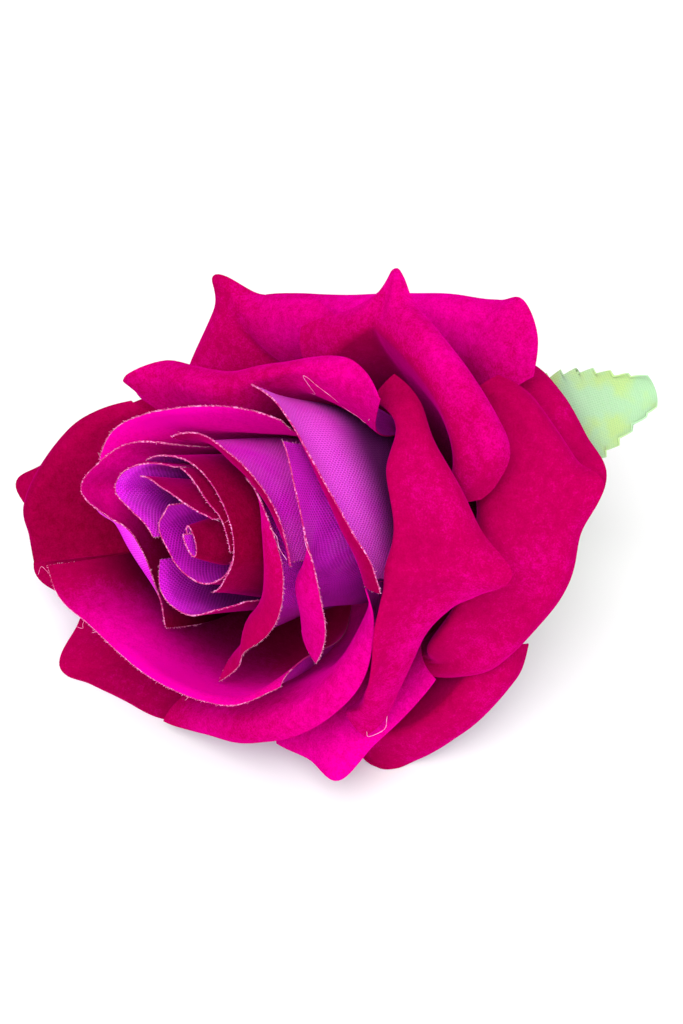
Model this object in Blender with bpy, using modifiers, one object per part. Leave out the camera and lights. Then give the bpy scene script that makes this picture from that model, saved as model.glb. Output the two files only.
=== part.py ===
"""Cut cloth rose head with its leaf, lying on a table on two outer petals and its cut stem.

World frame in metres, +Z up, table at z = 0. The flower axis leans to the left and towards the front.
Petals are written in flower coordinates: azimuth in degrees round the axis, radius and height in mm.
"""
import math

import bmesh
import bpy
from mathutils import Matrix, Vector
from mathutils.bvhtree import BVHTree

MM = 0.001
OBJECT_NAME = "cloth_rose"

FLOWER_AXIS = Vector((-0.639, -0.545, 0.543)).normalized()
HEAD_BASE = Vector((0.01385, 0.0109, 0.0200))
CLOTH = 0.70
GAP = 1.25
HEM_ROWS = 3
BODY_ROWS = 7

CONE_TOP_RADIUS = 1.6
CONE_TOP_HEIGHT = 17.0
CONE_FOOT_RADIUS = 19.0
CONE_FOOT_HEIGHT = 0.0
ROOT_CLEARANCE = 0.35

CALYX_TOP = -1.0
CALYX_DEPTH = 9.5
STEM_RADIUS = 2.6
STEM_END = -32.8

LEAF_ROOT = (39.0, 20.5)
LEAF_TIP = (26.8, 54.2)
LEAF_HEIGHT = -7.0
LEAF_TAB = 8.4
LEAF_HALF_WIDTH = 8.8
LEAF_TAB_HALF_WIDTH = 1.6
LEAF_TOOTH = 2.9
LEAF_TOOTH_DEPTH = 1.1
LEAF_STEPS = 26

# Each rim point: azimuth, radius, height, lean of the cloth there (90 upright), roll of the hem, and for
# the petals that arch over, radius and height of the arch.
# Roots: azimuth at the first and last rim point, radius on the cone. Rise: lean of the cloth at the root.
PETALS = [
    ("bud_inner_cup_petal", (150, 330), 3.4, 68, 2.0, [
        (126, 8.2, 54, 92, 0), (146, 8.6, 53, 95, 5), (165, 9.4, 52, 98, 5), (192, 7.8, 51, 98, 5),
        (226, 6.4, 51, 98, 5), (262, 6.2, 50.5, 96, 5), (300, 6.0, 50.5, 95, 5), (325, 6.4, 51, 95, 5),
        (345, 7.2, 52, 95, 5)]),
    ("bud_top_inner_petal", (50, 125), 3.9, 68, 2.0, [
        (37, 8.2, 56, 96, 5), (58, 7.4, 57, 96, 5), (86, 7.8, 57, 96, 5), (116, 10.8, 56, 92, 5),
        (136, 15.7, 54, 80, 5)]),
    ("bud_top_middle_petal", (10, 90), 4.8, 66, 2.0, [
        (-1, 8.3, 54, 96, 5), (24, 8.6, 55, 96, 5), (50, 9.0, 56, 95, 5), (71, 10.3, 56, 92, 5),
        (96, 12.7, 55, 88, 5)]),
    ("bud_left_petal", (118, 176), 5.4, 60, 2.0, [
        (107, 13.5, 54, 85, 5), (125, 16.0, 55, 80, 5), (142, 18.0, 55.5, 76, 0), (154, 18.4, 54.5, 80, 5),
        (159, 14.6, 54, 90, 5), (165, 11.8, 53, 96, 5), (176, 11.0, 51.5, 96, 5)]),
    ("bud_wrap_petal", (-62, 112), 6.4, 60, 2.0, [
        (-82, 7.4, 50, 98, 5), (-40, 7.0, 52, 98, 5), (-5, 8.6, 54, 98, 5), (28, 10.0, 55, 96, 5),
        (62, 11.6, 55, 94, 5), (98, 14.4, 54, 90, 5), (129, 17.4, 53, 82, 5)]),
    ("bud_bottom_petal", (204, 284), 6.4, 56, 2.0, [
        (194, 15.4, 46, 82, 5), (214, 15.3, 48, 82, 5), (237, 13.6, 49, 86, 5), (256, 12.0, 50, 90, 5),
        (274, 10.5, 49, 92, 5), (293, 9.9, 46, 92, 5)]),
    ("right_ribbon_petal", (-84, 40), 7.6, 56, 12.0, [
        (-103, 24.2, 42, 75, 60), (-91, 20.4, 43, 82, 85), (-79, 16.9, 45, 86, 104), (-42, 16.2, 48, 90, 108),
        (-8, 17.0, 52, 90, 105), (20, 15.8, 53, 94, 80), (50, 14.4, 52, 97, 30)]),
    ("right_inner_petal", (6, 92), 8.9, 54, 7.0, [
        (-6, 18.8, 52, 94, 60), (15, 19.8, 55, 92, 75), (34, 19.4, 56, 92, 75), (57, 18.6, 56, 92, 65),
        (80, 18.4, 55, 92, 45), (103, 18.0, 54, 90, 20)]),
    ("left_inner_petal", (126, 214), 7.8, 44, 8.0, [
        (120, 18.6, 50, 85, 5), (136, 22.8, 52, 75, 5), (149, 24.6, 54, 68, -5), (162, 26.0, 54.5, 72, -35),
        (168, 19.6, 54.5, 92, -85), (173, 16.0, 52.5, 98, -95), (185, 15.0, 50.5, 98, -92),
        (200, 16.0, 48, 95, -70), (213, 18.8, 45.5, 92, -45), (223, 23.0, 43, 90, -10)]),
    ("top_inner_petal", (62, 142), 10.2, 46, 2.0, [
        (51, 26.6, 51, 62, 5), (63, 25.0, 53, 58, 5), (80, 23.0, 54, 55, 5), (98, 22.4, 54, 55, 5),
        (118, 23.7, 53, 55, 5), (138, 26.6, 52, 52, 5), (153, 28.2, 50, 50, 5)]),
    ("right_second_petal", (-44, 32), 10.2, 44, 13.0, [
        (-53, 23.6, 40, 84, 100), (-34, 24.0, 45, 86, 114), (-19, 24.2, 49, 88, 108), (-5, 24.3, 52, 92, 80),
        (8, 24.2, 54, 95, 45), (24, 25.0, 55, 92, 22), (42, 26.2, 54, 86, 10)]),
    ("lower_left_cup_petal", (172, 256), 9.8, 28, 3.0, [
        (189, 42.2, 47, 42, 0), (198, 37.2, 50, 56, 10), (210, 30.8, 51, 75, 20), (227, 26.6, 52, 90, 30),
        (250, 24.8, 52, 98, 35), (268, 25.4, 50.5, 94, 35), (283, 25.8, 49, 82, 30), (292, 24.6, 43, 64, 25)]),
    ("bottom_ring_petal", (246, 338), 11.5, 28, 6.5, [
        (234, 39.6, 38, 45, 60), (250, 33.4, 40, 50, 100), (271, 30.2, 42, 52, 115), (293, 28.8, 42, 55, 115),
        (315, 27.8, 42, 58, 110), (333, 27.4, 43, 66, 70), (349, 27.2, 44, 80, 15)]),
    ("right_purple_petal", (2, 62), 12.4, 40, 9.0, [
        (-10, 32.4, 46, 76, 85), (0, 33.4, 50, 80, 80), (9, 32.4, 53, 86, 70), (22, 30.4, 54, 90, 60),
        (36, 29.2, 54, 90, 45), (52, 29.2, 53, 88, 30), (70, 27.6, 50, 80, 10)]),
    ("left_dark_petal", (144, 182), 11.6, 30, 4.0, [
        (137, 32.0, 44, 60, 40), (150, 36.4, 48, 58, 80), (163, 39.7, 50, 55, 100), (175, 43.0, 51, 52, 110),
        (182, 43.0, 50, 50, 90), (188, 44.5, 48, 48, 40)]),
    ("top_rolled_petal", (64, 132), 13.6, 34, 7.0, [
        (38, 38.8, 44.5, 40, 0), (46, 37.4, 46, 40, 50), (57, 33.6, 47, 38, 120), (72, 28.4, 47, 38, 140),
        (92, 25.4, 47, 38, 140), (112, 28.6, 47, 38, 130), (130, 35.2, 46, 35, 0), (136, 32.7, 44, 45, 60)]),
    ("right_folded_petal", (-54, 40), 14.2, 46, 5.0, [
        (-64, 36.2, 31, -10, 40, 30.0, 28.5), (-53, 36.4, 31.5, -45, 50, 31.6, 34.5),
        (-42, 35.6, 33, -55, 60, 31.6, 39.4), (-24, 36.0, 35, -55, 80, 31.2, 43.2),
        (-14, 38.8, 35, -45, 75, 31.6, 44.2), (-9, 42.4, 34.5, -35, 55, 32.2, 44.6),
        (-3, 48.2, 34, -30, 0, 32.6, 45.0), (6, 43.2, 36, -30, 80, 34.0, 44.5), (24, 39.8, 38, -25, 100, 32.6, 41.5),
        (37, 39.2, 38, -5, 90, 33.8, 34.5), (47, 37.4, 36, 10, 40, 31.8, 29)]),
    ("upper_right_petal", (24, 78), 15.6, 24, 6.0, [
        (12, 38.4, 31, 25, 50, 32.0, 28.6), (15, 42.2, 31.8, 10, 80, 35.5, 30.5),
        (21, 46.8, 33, 5, 120, 39.0, 32.4), (31, 48.0, 35, 0, 140, 41.0, 34.0), (46, 47.4, 36, 5, 130, 41.0, 34.6),
        (56, 47.0, 34.5, 5, 90, 40.4, 33.6), (60.5, 50.8, 33, 5, 0, 39.6, 32.2), (64, 44.6, 34, 10, 60, 36.6, 31.8),
        (71, 38.6, 34, 20, 80, 31.4, 30.6), (84, 33.6, 33, 40, 50, 25.0, 27.0)]),
    ("bottom_tip_petal", (276, 318), 13.8, 26, 5.0, [
        (264, 35.2, 31, 30, 50), (274, 37.6, 30.5, 15, 50), (284, 41.8, 29.5, 0, 0), (294, 37.0, 28, 10, 50),
        (306, 34.5, 26, 20, 50), (318, 33.0, 24, 30, 40)]),
    ("upper_left_outer_petal", (80, 130), 15.8, 14, 6.0, [
        (66, 34.6, 25, 30, 40), (77, 37.2, 27, 15, 0), (90, 38.7, 28, 20, 80), (106, 41.4, 28, 15, 80),
        (113, 48.0, 28, 10, 0), (120, 42.8, 28, 20, 70), (137, 38.3, 27, 30, 50)]),
    ("right_outer_petal", (-40, 28), 16.8, 16, 6.0, [
        (-49, 28.6, 22, 20, 40, 23.0, 20), (-41, 34.5, 21, 0, 80, 28.0, 23), (-33, 38.8, 20, -10, 90, 30, 25),
        (-20, 42.6, 18.5, -15, 90, 32.5, 26), (-7, 47.8, 19, -20, 80, 34.5, 26), (3, 50.2, 19, -25, 70, 35.0, 25.5),
        (11, 55.2, 18, -25, 0, 35.4, 24.6), (16, 51.8, 20, -20, 80, 35.8, 24.8), (22, 49.6, 21, -10, 110, 36.4, 25.6),
        (30, 48.0, 22.5, -5, 110, 36.0, 26.4), (37, 45.0, 24, 10, 60, 35.0, 26.5)]),
    ("top_back_petal", (48, 104), 17.8, 6, 6.0, [
        (36, 46.0, 14.5, 0, 40), (41, 51.4, 16, -5, 50), (46.5, 54.4, 16.5, -10, 10), (51, 50.6, 17.5, 0, 60),
        (58, 46.8, 18.5, 5, 80), (76, 41.0, 20, 10, 90), (94, 40.0, 20, 10, 90), (114, 44.2, 19, 5, 40)]),
    ("lower_left_outer_petal", (204, 232), 13.6, 24, 3.0, [
        (196, 42.0, 38, 50, 10, 37.0, 31), (203, 45.4, 40, 50, 10, 38.0, 28), (209, 53.4, 40, 50, 0, 39.5, 25),
        (215, 52.5, 36, 52, 10, 40.0, 22.5), (222, 48.6, 34, 54, 10, 39.0, 20.5),
        (230, 45.6, 32, 54, 10, 37.5, 19), (238, 41.0, 28, 54, 10, 35.5, 18)]),
    ("left_outer_petal", (156, 196), 13.6, 26, 4.0, [
        (148, 41.5, 30, 30, 40, 34.0, 26), (159, 46.5, 36, 30, 60, 37.0, 30), (168, 51.5, 40, 25, 40, 40.0, 32.5),
        (173, 55.9, 42, 20, 0, 41.0, 34), (181, 50.0, 42, 30, 60, 40.5, 35), (190, 51.6, 42, 30, 15, 40.5, 35),
        (196, 49.0, 38, 30, 50, 40.0, 33), (204, 43.0, 31, 35, 50, 36.5, 27)]),
    ("lower_right_outer_petal", (276, 328), 17.4, 26, 6.0, [
        (264, 35.8, 15, 0, 30, 30.0, 15), (276, 43.2, 12.5, -15, 0, 34.0, 15.5), (286, 42.9, 12, -25, 70, 35.5, 16),
        (301, 41.6, 12, -30, 90, 35.5, 16), (318, 41.2, 12, -30, 90, 34.5, 15.5), (326, 41.2, 12, -30, 80, 34.2, 15.2),
        (333, 39.8, 11.5, -30, 60, 33.6, 15)]),
    ("right_back_petal", (10, 48), 19.8, 14, 5.0, [
        (3, 43.0, 7, -30, 40, 35.0, 11), (13, 49.7, 8, -30, 10, 38.0, 13), (22, 47.3, 8, -25, 70, 38.0, 13.5),
        (32, 46.3, 8, -25, 70, 37.5, 12.5), (41, 44.4, 8, -20, 60, 36.0, 11.5), (50, 40.0, 8, -10, 40, 33.0, 10)]),
]

FRAYED_PETALS = ("bud_inner_cup_petal", "bud_top_inner_petal", "bud_top_middle_petal", "bud_left_petal",
                 "bud_wrap_petal", "bud_bottom_petal", "right_ribbon_petal", "right_inner_petal",
                 "left_inner_petal", "top_inner_petal", "right_second_petal", "lower_left_cup_petal",
                 "right_purple_petal")
BUD_PETALS = ("bud_inner_cup_petal", "bud_top_inner_petal", "bud_top_middle_petal", "bud_left_petal",
              "bud_wrap_petal", "bud_bottom_petal")


def flower_matrix():
    across = Vector((1.0, 0.0, 0.0))
    across = (across - across.dot(FLOWER_AXIS) * FLOWER_AXIS).normalized()
    upward = FLOWER_AXIS.cross(across)
    turn = Matrix((across, upward, FLOWER_AXIS)).transposed().to_4x4()
    return Matrix.Translation(HEAD_BASE) @ turn


TO_WORLD = flower_matrix()


def place(azimuth, radius, height):
    a = math.radians(azimuth)
    flower = Vector((radius * math.cos(a), radius * math.sin(a), height)) * MM
    return TO_WORLD @ flower


def cone_height(radius):
    share = (radius - CONE_TOP_RADIUS) / (CONE_FOOT_RADIUS - CONE_TOP_RADIUS)
    return CONE_TOP_HEIGHT + share * (CONE_FOOT_HEIGHT - CONE_TOP_HEIGHT)


def along(points, s):
    """Catmull-Rom value at s from 0 to 1 along a list of tuples."""
    last = len(points) - 1
    x = min(max(s * last, 0.0), last)
    i = min(int(x), last - 1)
    f = x - i
    p1 = points[i]
    p2 = points[i + 1]
    p0 = points[i - 1] if i > 0 else tuple(2 * a - b for a, b in zip(p1, p2))
    p3 = points[i + 2] if i + 2 <= last else tuple(2 * b - a for a, b in zip(p1, p2))
    value = []
    for a, b, c, d in zip(p0, p1, p2, p3):
        value.append(0.5 * (2 * b + (c - a) * f + (2 * a - 5 * b + 4 * c - d) * f * f
                            + (3 * b - a - 3 * c + d) * f * f * f))
    return value


def bezier(a, b, c, d, t):
    u = 1.0 - t
    return tuple(u ** 3 * i + 3 * u * u * t * j + 3 * u * t * t * k + t ** 3 * m for i, j, k, m in zip(a, b, c, d))


def stepped(point, angle, length):
    return (point[0] + length * math.cos(angle), point[1] + length * math.sin(angle))


def column(root_azimuth, root_radius, rise, hem, rim, rows, hem_rows, cut):
    """Points from root to hem edge in one column of a petal, as azimuth, radius, height.

    A cut hem ends at the rim point; a rolled hem only touches it with its outermost fold.
    """
    azimuth, radius, height, lean, roll = rim[:5]
    lean = math.radians(lean)
    roll = math.radians(math.copysign(max(abs(roll), 2.0), roll))
    reach = hem * math.sin(min(roll, math.pi / 2)) / roll
    top = stepped((radius, height), lean, -reach)
    if cut:
        top = stepped(top, lean - math.pi / 2, -hem * (1.0 - math.cos(roll)) / roll)
    foot = (root_radius, cone_height(root_radius) + ROOT_CLEARANCE * 1.4)
    up = math.radians(rise)
    arcs = []
    if len(rim) == 5:
        span = math.dist(foot, top)
        arcs.append((foot, stepped(foot, up, 0.42 * span), stepped(top, lean, -0.36 * span), top, 0, rows))
    else:
        crest = tuple(rim[5:7])
        inward = math.atan2(crest[1] - foot[1], crest[0] - foot[0])
        first = math.dist(foot, crest)
        second = math.dist(crest, top)
        half = rows - 3
        arcs.append((foot, stepped(foot, up, 0.38 * first), stepped(crest, inward, -0.30 * first), crest, 0, half))
        arcs.append((crest, stepped(crest, inward, 0.36 * second), stepped(top, lean, -0.30 * second), top, half, rows))
    points = []
    for a, b, c, d, start, end in arcs:
        for j in range(start if start == 0 else start + 1, end + 1):
            r, w = bezier(a, b, c, d, (j - start) / (end - start))
            spread = 1.0 - (1.0 - j / rows) ** 2.2
            points.append((root_azimuth + (azimuth - root_azimuth) * spread, r, w))
    curl = hem / roll
    for j in range(1, hem_rows + 1):
        turned = lean - roll * j / hem_rows
        r = top[0] + curl * (math.sin(lean) - math.sin(turned))
        w = top[1] - curl * (math.cos(lean) - math.cos(turned))
        points.append((azimuth, r, w))
    return points


def petal_grid(row, steps=2, rows=BODY_ROWS, hem_rows=HEM_ROWS):
    name, roots, root_radius, rise, hem, rim = row
    count = (len(rim) - 1) * steps
    grid = []
    for i in range(count + 1):
        s = i / count
        root_azimuth = roots[0] + (roots[1] - roots[0]) * s
        points = column(root_azimuth, root_radius, rise, hem, along(rim, s), rows, hem_rows,
                        name in FRAYED_PETALS)
        grid.append([place(*p) for p in points])
    return grid


def quads(grid, first=0, last=None):
    rows = len(grid[0])
    last = rows - 1 if last is None else last
    faces = []
    for i in range(len(grid) - 1):
        for j in range(first, last):
            a = i * rows + j
            faces.append((a, a + rows, a + rows + 1, a + 1))
    return faces


def tree(grid, first=0, last=None):
    points = [p for line in grid for p in line]
    return BVHTree.FromPolygons(points, quads(grid, first, last))


def push_for(point, body, hem, gap):
    """How far a point of an outer petal has to move to lie a gap outside an inner petal."""
    push = Vector()
    hit, normal, index, distance = body.find_nearest(point, 6 * MM)
    if hit is not None:
        offset = point - hit
        signed = offset.dot(normal)
        sideways = (offset - signed * normal).length
        if sideways < 0.25 * distance + 0.02 * MM:
            if signed < gap:
                push = normal * (gap - signed)
        elif distance < gap:
            push = normal * (gap - distance) * 0.6
    hit, normal, index, distance = hem.find_nearest(point, gap)
    if hit is not None and distance > 1e-7:
        away = (point - hit) / distance
        push = push + away * (gap - distance)
    return push


def press_outward(grid, placed):
    """Move a petal clear of the petals already placed inside it, as cloth pressed outward."""
    wide = len(grid)
    high = len(grid[0])
    start = [[p.copy() for p in line] for line in grid]
    for turn in range(18):
        pushes = [[Vector() for p in line] for line in grid]
        moved = False
        for body, hem, corners in placed:
            for i in range(wide):
                for j in range(high):
                    push = push_for(grid[i][j], body, hem, GAP * MM)
                    if push.length > pushes[i][j].length:
                        pushes[i][j] = push
                        moved = True
            for i in range(wide - 1):
                for j in range(high - 1):
                    middle = (grid[i][j] + grid[i + 1][j] + grid[i + 1][j + 1] + grid[i][j + 1]) / 4
                    push = push_for(middle, body, hem, GAP * MM * 0.95)
                    for a, b in ((i, j), (i + 1, j), (i + 1, j + 1), (i, j + 1)):
                        if push.length > pushes[a][b].length:
                            pushes[a][b] = push
                            moved = True
        mine = tree(grid, 0, high - HEM_ROWS)
        for body, hem, corners in placed:
            for corner in corners:
                hit, normal, index, distance = mine.find_nearest(corner, 4 * MM)
                if hit is None:
                    continue
                signed = (corner - hit).dot(normal)
                if abs(signed) < 0.97 * distance or signed < -GAP * MM * 0.95:
                    continue
                column_index, row_index = divmod(index, high - HEM_ROWS)
                push = normal * (signed + GAP * MM * 0.95)
                for a, b in ((0, 0), (1, 0), (1, 1), (0, 1)):
                    if push.length > pushes[column_index + a][row_index + b].length:
                        pushes[column_index + a][row_index + b] = push
                        moved = True
        if not moved:
            break
        for i in range(wide):
            for j in range(high):
                grid[i][j] = grid[i][j] + pushes[i][j] * 0.8
        if turn < 14:
            shift = [[grid[i][j] - start[i][j] for j in range(high)] for i in range(wide)]
            for i in range(wide):
                for j in range(1, high):
                    around = Vector()
                    number = 0
                    for a, b in ((i - 1, j), (i + 1, j), (i, j - 1), (i, j + 1)):
                        if 0 <= a < wide and 0 <= b < high:
                            around += shift[a][b]
                            number += 1
                    smooth = shift[i][j] * 0.65 + around / number * 0.35
                    grid[i][j] = start[i][j] + smooth
    return grid


def rest_on_table(grid):
    """Flatten what would dip below the table into a small flat spot."""
    lowest = CLOTH * MM / 2
    for line in grid:
        for point in line:
            if point.z < lowest:
                point.z = lowest
    return grid


def mesh_from_grid(name, grid, collection, material):
    wide = len(grid) - 1
    high = len(grid[0]) - 1
    bm = bmesh.new()
    bmesh.ops.create_grid(bm, x_segments=wide, y_segments=high, size=1.0)
    for vertex in bm.verts:
        i = round((vertex.co.x + 1.0) / 2.0 * wide)
        j = round((vertex.co.y + 1.0) / 2.0 * high)
        vertex.co = grid[i][j]
    bmesh.ops.triangulate(bm, faces=bm.faces, quad_method="SHORT_EDGE")
    return solid_sheet(name, bm, collection, material)


def solid_sheet(name, bm, collection, material):
    mesh = bpy.data.meshes.new(name)
    bm.to_mesh(mesh)
    bm.free()
    sheet = bpy.data.objects.new(name, mesh)
    collection.objects.link(sheet)
    shell = sheet.modifiers.new("thickness", "SOLIDIFY")
    shell.thickness = CLOTH * MM
    shell.offset = 0.0
    shell.use_even_offset = False
    return finish(sheet, material)


def finish(shape, material):
    """Apply the modifiers, point every face outward and shade smooth."""
    depsgraph = bpy.context.evaluated_depsgraph_get()
    mesh = bpy.data.meshes.new_from_object(shape.evaluated_get(depsgraph))
    shape.modifiers.clear()
    shape.data = mesh
    bm = bmesh.new()
    bm.from_mesh(mesh)
    bmesh.ops.remove_doubles(bm, verts=bm.verts, dist=0.00001)
    bmesh.ops.recalc_face_normals(bm, faces=bm.faces)
    bm.to_mesh(mesh)
    bm.free()
    mesh.materials.clear()
    mesh.materials.append(material)
    for face in mesh.polygons:
        face.use_smooth = True
    return shape


def make_material(name, colour, roughness):
    material = bpy.data.materials.new(name)
    material.use_nodes = True
    shader = material.node_tree.nodes["Principled BSDF"]
    shader.inputs["Base Color"].default_value = (*colour, 1.0)
    shader.inputs["Roughness"].default_value = roughness
    return material


def turned_solid(name, profile, steps, collection, material):
    """A solid of revolution round the flower axis from a profile of radius and height in mm."""
    bm = bmesh.new()
    previous = None
    first = None
    for radius, height in profile:
        vertex = bm.verts.new((radius * MM, 0.0, height * MM))
        if previous is None:
            first = vertex
        else:
            bm.edges.new((previous, vertex))
        previous = vertex
    mesh = bpy.data.meshes.new(name)
    bm.to_mesh(mesh)
    bm.free()
    solid = bpy.data.objects.new(name, mesh)
    collection.objects.link(solid)
    screw = solid.modifiers.new("turn", "SCREW")
    screw.axis = "Z"
    screw.steps = steps
    screw.render_steps = steps
    screw.use_merge_vertices = True
    screw.merge_threshold = 0.00001
    screw.use_smooth_shade = True
    finish(solid, material)
    solid.data.transform(TO_WORLD)
    solid.data.update()
    return solid


def rolled_centre():
    """A strip of cloth rolled into a cone of one and a quarter turns in the middle of the bud."""
    turns = 16
    rows = 7
    grid = []
    for i in range(turns + 1):
        s = i / turns
        angle = math.radians(120 + 450 * s)
        line = []
        for j in range(rows + 1):
            height = CONE_TOP_HEIGHT + 0.35 + (56.4 - 2.4 * s - 17.35) * (j / rows) ** 0.8
            h = (height - 17.35) / 39.05
            body = 2.5 + 2.3 * math.sin(math.pi / 2 * min(1.0, h * 1.25)) - 2.4 * max(0.0, h - 0.78) / 0.22
            radius = 0.75 + (body - 0.75) * (0.35 + 0.65 * s)
            flower = Vector((-0.5 + 1.9 * h ** 4 + radius * math.cos(angle),
                             -0.6 + 1.6 * h ** 4 + radius * math.sin(angle), height)) * MM
            line.append(TO_WORLD @ flower)
        grid.append(line)
    return grid


def leaf_width(distance, length, side):
    """Half width of the leaf at a distance from its base, with teeth that lean towards the tip."""
    if distance <= 0.0:
        return LEAF_TAB_HALF_WIDTH
    share = distance / length
    plain = LEAF_HALF_WIDTH * max(0.0, math.sin(math.pi * min(1.0, 0.10 + 0.90 * share))) ** 0.7
    tooth = (distance / LEAF_TOOTH + side * 0.15) % 1.0
    return max(plain + LEAF_TOOTH_DEPTH * (tooth - 0.5), 0.8)


def leaf(collection, material):
    """A toothed cloth leaf held out behind the right side of the head by a narrow tab."""
    ends = []
    for azimuth, radius in (LEAF_ROOT, LEAF_TIP):
        turn = math.radians(azimuth)
        ends.append(Vector((radius * math.cos(turn), radius * math.sin(turn), LEAF_HEIGHT)))
    root, tip = ends
    length = (tip - root).length
    run = (tip - root).normalized()
    side = Vector((-run.y, run.x, 0.0))
    tab = Vector((root.x, root.y, 0.0)).normalized()
    across = (-1.0, -0.66, -0.33, 0.0, 0.33, 0.66, 1.0)
    stations = [-LEAF_TAB, -LEAF_TAB / 2, 0.0]
    stations += [length * (k + 1) / LEAF_STEPS for k in range(LEAF_STEPS)]
    bm = bmesh.new()
    bmesh.ops.create_grid(bm, x_segments=len(stations) - 1, y_segments=len(across) - 1, size=1.0)
    for vertex in bm.verts:
        i = round((vertex.co.x + 1.0) / 2.0 * (len(stations) - 1))
        j = round((vertex.co.y + 1.0) / 2.0 * (len(across) - 1))
        distance = stations[i]
        width = leaf_width(distance, length, across[j])
        share = max(0.0, distance / length)
        direction = run if distance > 0.0 else tab
        spot = root + direction * distance + side * (width * across[j])
        spot.z += 2.0 * math.sin(math.pi * share) + 1.2 * across[j] ** 2 * min(1.0, share * 4)
        vertex.co = TO_WORLD @ (spot * MM)
    bmesh.ops.triangulate(bm, faces=bm.faces, quad_method="SHORT_EDGE")
    return solid_sheet("leaf", bm, collection, material)


def petal_grids():
    """Every petal from the middle outward, each one pressed clear of those inside it."""
    placed = []
    grids = {"rolled_centre": rolled_centre()}
    centre = grids["rolled_centre"]
    placed.append((tree(centre), tree(centre, 5), [p for line in centre for p in line]))
    for row in PETALS:
        grid = rest_on_table(press_outward(petal_grid(row), placed))
        body_rows = len(grid[0]) - 1 - HEM_ROWS
        corners = [p for line in grid for p in line[:body_rows + 1]]
        placed.append((tree(grid, 0, body_rows), tree(grid, body_rows), corners))
        grids[row[0]] = grid
    return grids


def main():
    for old in list(bpy.data.objects):
        bpy.data.objects.remove(old, do_unlink=True)
    collection = bpy.data.collections.new(OBJECT_NAME)
    bpy.context.scene.collection.children.link(collection)

    grids = petal_grids()
    for name, grid in grids.items():
        material = make_material(name + "_cloth", (0.75, 0.02, 0.30), 0.85)
        mesh_from_grid(name, grid, collection, material)

    turned_solid("receptacle", [(0.0, CONE_FOOT_HEIGHT - 0.6), (CONE_FOOT_RADIUS, CONE_FOOT_HEIGHT - 0.6),
                                (CONE_FOOT_RADIUS, CONE_FOOT_HEIGHT), (CONE_TOP_RADIUS, CONE_TOP_HEIGHT),
                                (0.0, CONE_TOP_HEIGHT)], 24, collection,
                 make_material("receptacle_plastic", (0.55, 0.58, 0.45), 0.6))
    turned_solid("calyx_with_stem", [
        (0.0, CALYX_TOP), (15.0, CALYX_TOP), (14.2, CALYX_TOP - 3.0), (10.5, CALYX_TOP - 6.5),
        (5.5, CALYX_TOP - CALYX_DEPTH), (STEM_RADIUS, CALYX_TOP - CALYX_DEPTH - 2.0),
        (STEM_RADIUS, STEM_END), (0.0, STEM_END)], 20, collection,
                 make_material("calyx_plastic", (0.25, 0.42, 0.12), 0.5))
    leaf(collection, make_material("leaf_cloth", (0.45, 0.75, 0.35), 0.8))


main()
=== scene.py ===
"""Artificial rose head in velvet cloth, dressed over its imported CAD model.

Frame in metres, +Z up, table at z = 0, the same frame as the CAD model. The petals are laid out as the
CAD petals are, in flower coordinates, and then made finer, thinner and two-faced.
"""

import itertools
import math
import random

import bmesh
import bpy
from bpy.props import FloatProperty, FloatVectorProperty, PointerProperty
from mathutils import Matrix, Vector, noise
from mathutils.bvhtree import BVHTree


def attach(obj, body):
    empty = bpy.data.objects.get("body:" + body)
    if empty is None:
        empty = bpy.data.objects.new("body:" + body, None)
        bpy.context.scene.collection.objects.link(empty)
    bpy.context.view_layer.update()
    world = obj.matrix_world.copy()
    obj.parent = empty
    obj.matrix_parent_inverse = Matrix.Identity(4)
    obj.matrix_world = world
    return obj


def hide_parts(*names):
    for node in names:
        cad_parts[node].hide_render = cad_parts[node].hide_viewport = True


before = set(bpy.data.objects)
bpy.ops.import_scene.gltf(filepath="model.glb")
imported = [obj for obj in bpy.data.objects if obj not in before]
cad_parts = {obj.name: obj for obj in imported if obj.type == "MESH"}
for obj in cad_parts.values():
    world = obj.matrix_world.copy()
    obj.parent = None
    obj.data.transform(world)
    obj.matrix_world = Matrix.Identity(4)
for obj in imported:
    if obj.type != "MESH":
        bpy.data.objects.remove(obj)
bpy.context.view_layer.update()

bl_info = {
    "name": "Cloth rose",
    "version": (1, 0, 0),
    "blender": (4, 5, 0),
    "location": "View3D > Sidebar > Cloth rose",
    "description": "Velvet petals, frayed edges, leaf, calyx and stage of an artificial rose head",
    "category": "Object",
}

MM = 0.001

# The flower's axis and the middle of its base are in the shared frame. The other lengths up to the petals
# are in millimetres and the angles in degrees, in the flower's own coordinates.
FLOWER_AXIS = Vector((-0.639, -0.545, 0.543)).normalized()
HEAD_BASE = Vector((0.01385, 0.0109, 0.0200))

# Thickness of the solids' cloth, least distance between two petals, and rows of points in a coarse petal.
CLOTH = 0.70
GAP = 1.25
HEM_ROWS = 3
BODY_ROWS = 7

CONE_TOP_RADIUS = 1.6
CONE_TOP_HEIGHT = 17.0
CONE_FOOT_RADIUS = 19.0
CONE_FOOT_HEIGHT = 0.0
ROOT_CLEARANCE = 0.35

CALYX_TOP = -1.0
CALYX_DEPTH = 9.5
STEM_RADIUS = 2.6
STEM_END = -32.8

LEAF_ROOT = (39.0, 20.5)
LEAF_TIP = (26.8, 54.2)
LEAF_HEIGHT = -7.0
LEAF_TAB = 8.4
LEAF_HALF_WIDTH = 8.8
LEAF_TAB_HALF_WIDTH = 1.6
LEAF_TOOTH = 2.9
LEAF_TOOTH_DEPTH = 1.1
LEAF_ARCH = 2.0
LEAF_CUP = 1.2
LEAF_RIB_PITCH = 0.9
LEAF_RIB_HEIGHT = 0.022
LEAF_STEPS = 180
LEAF_ROWS = 32

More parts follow.
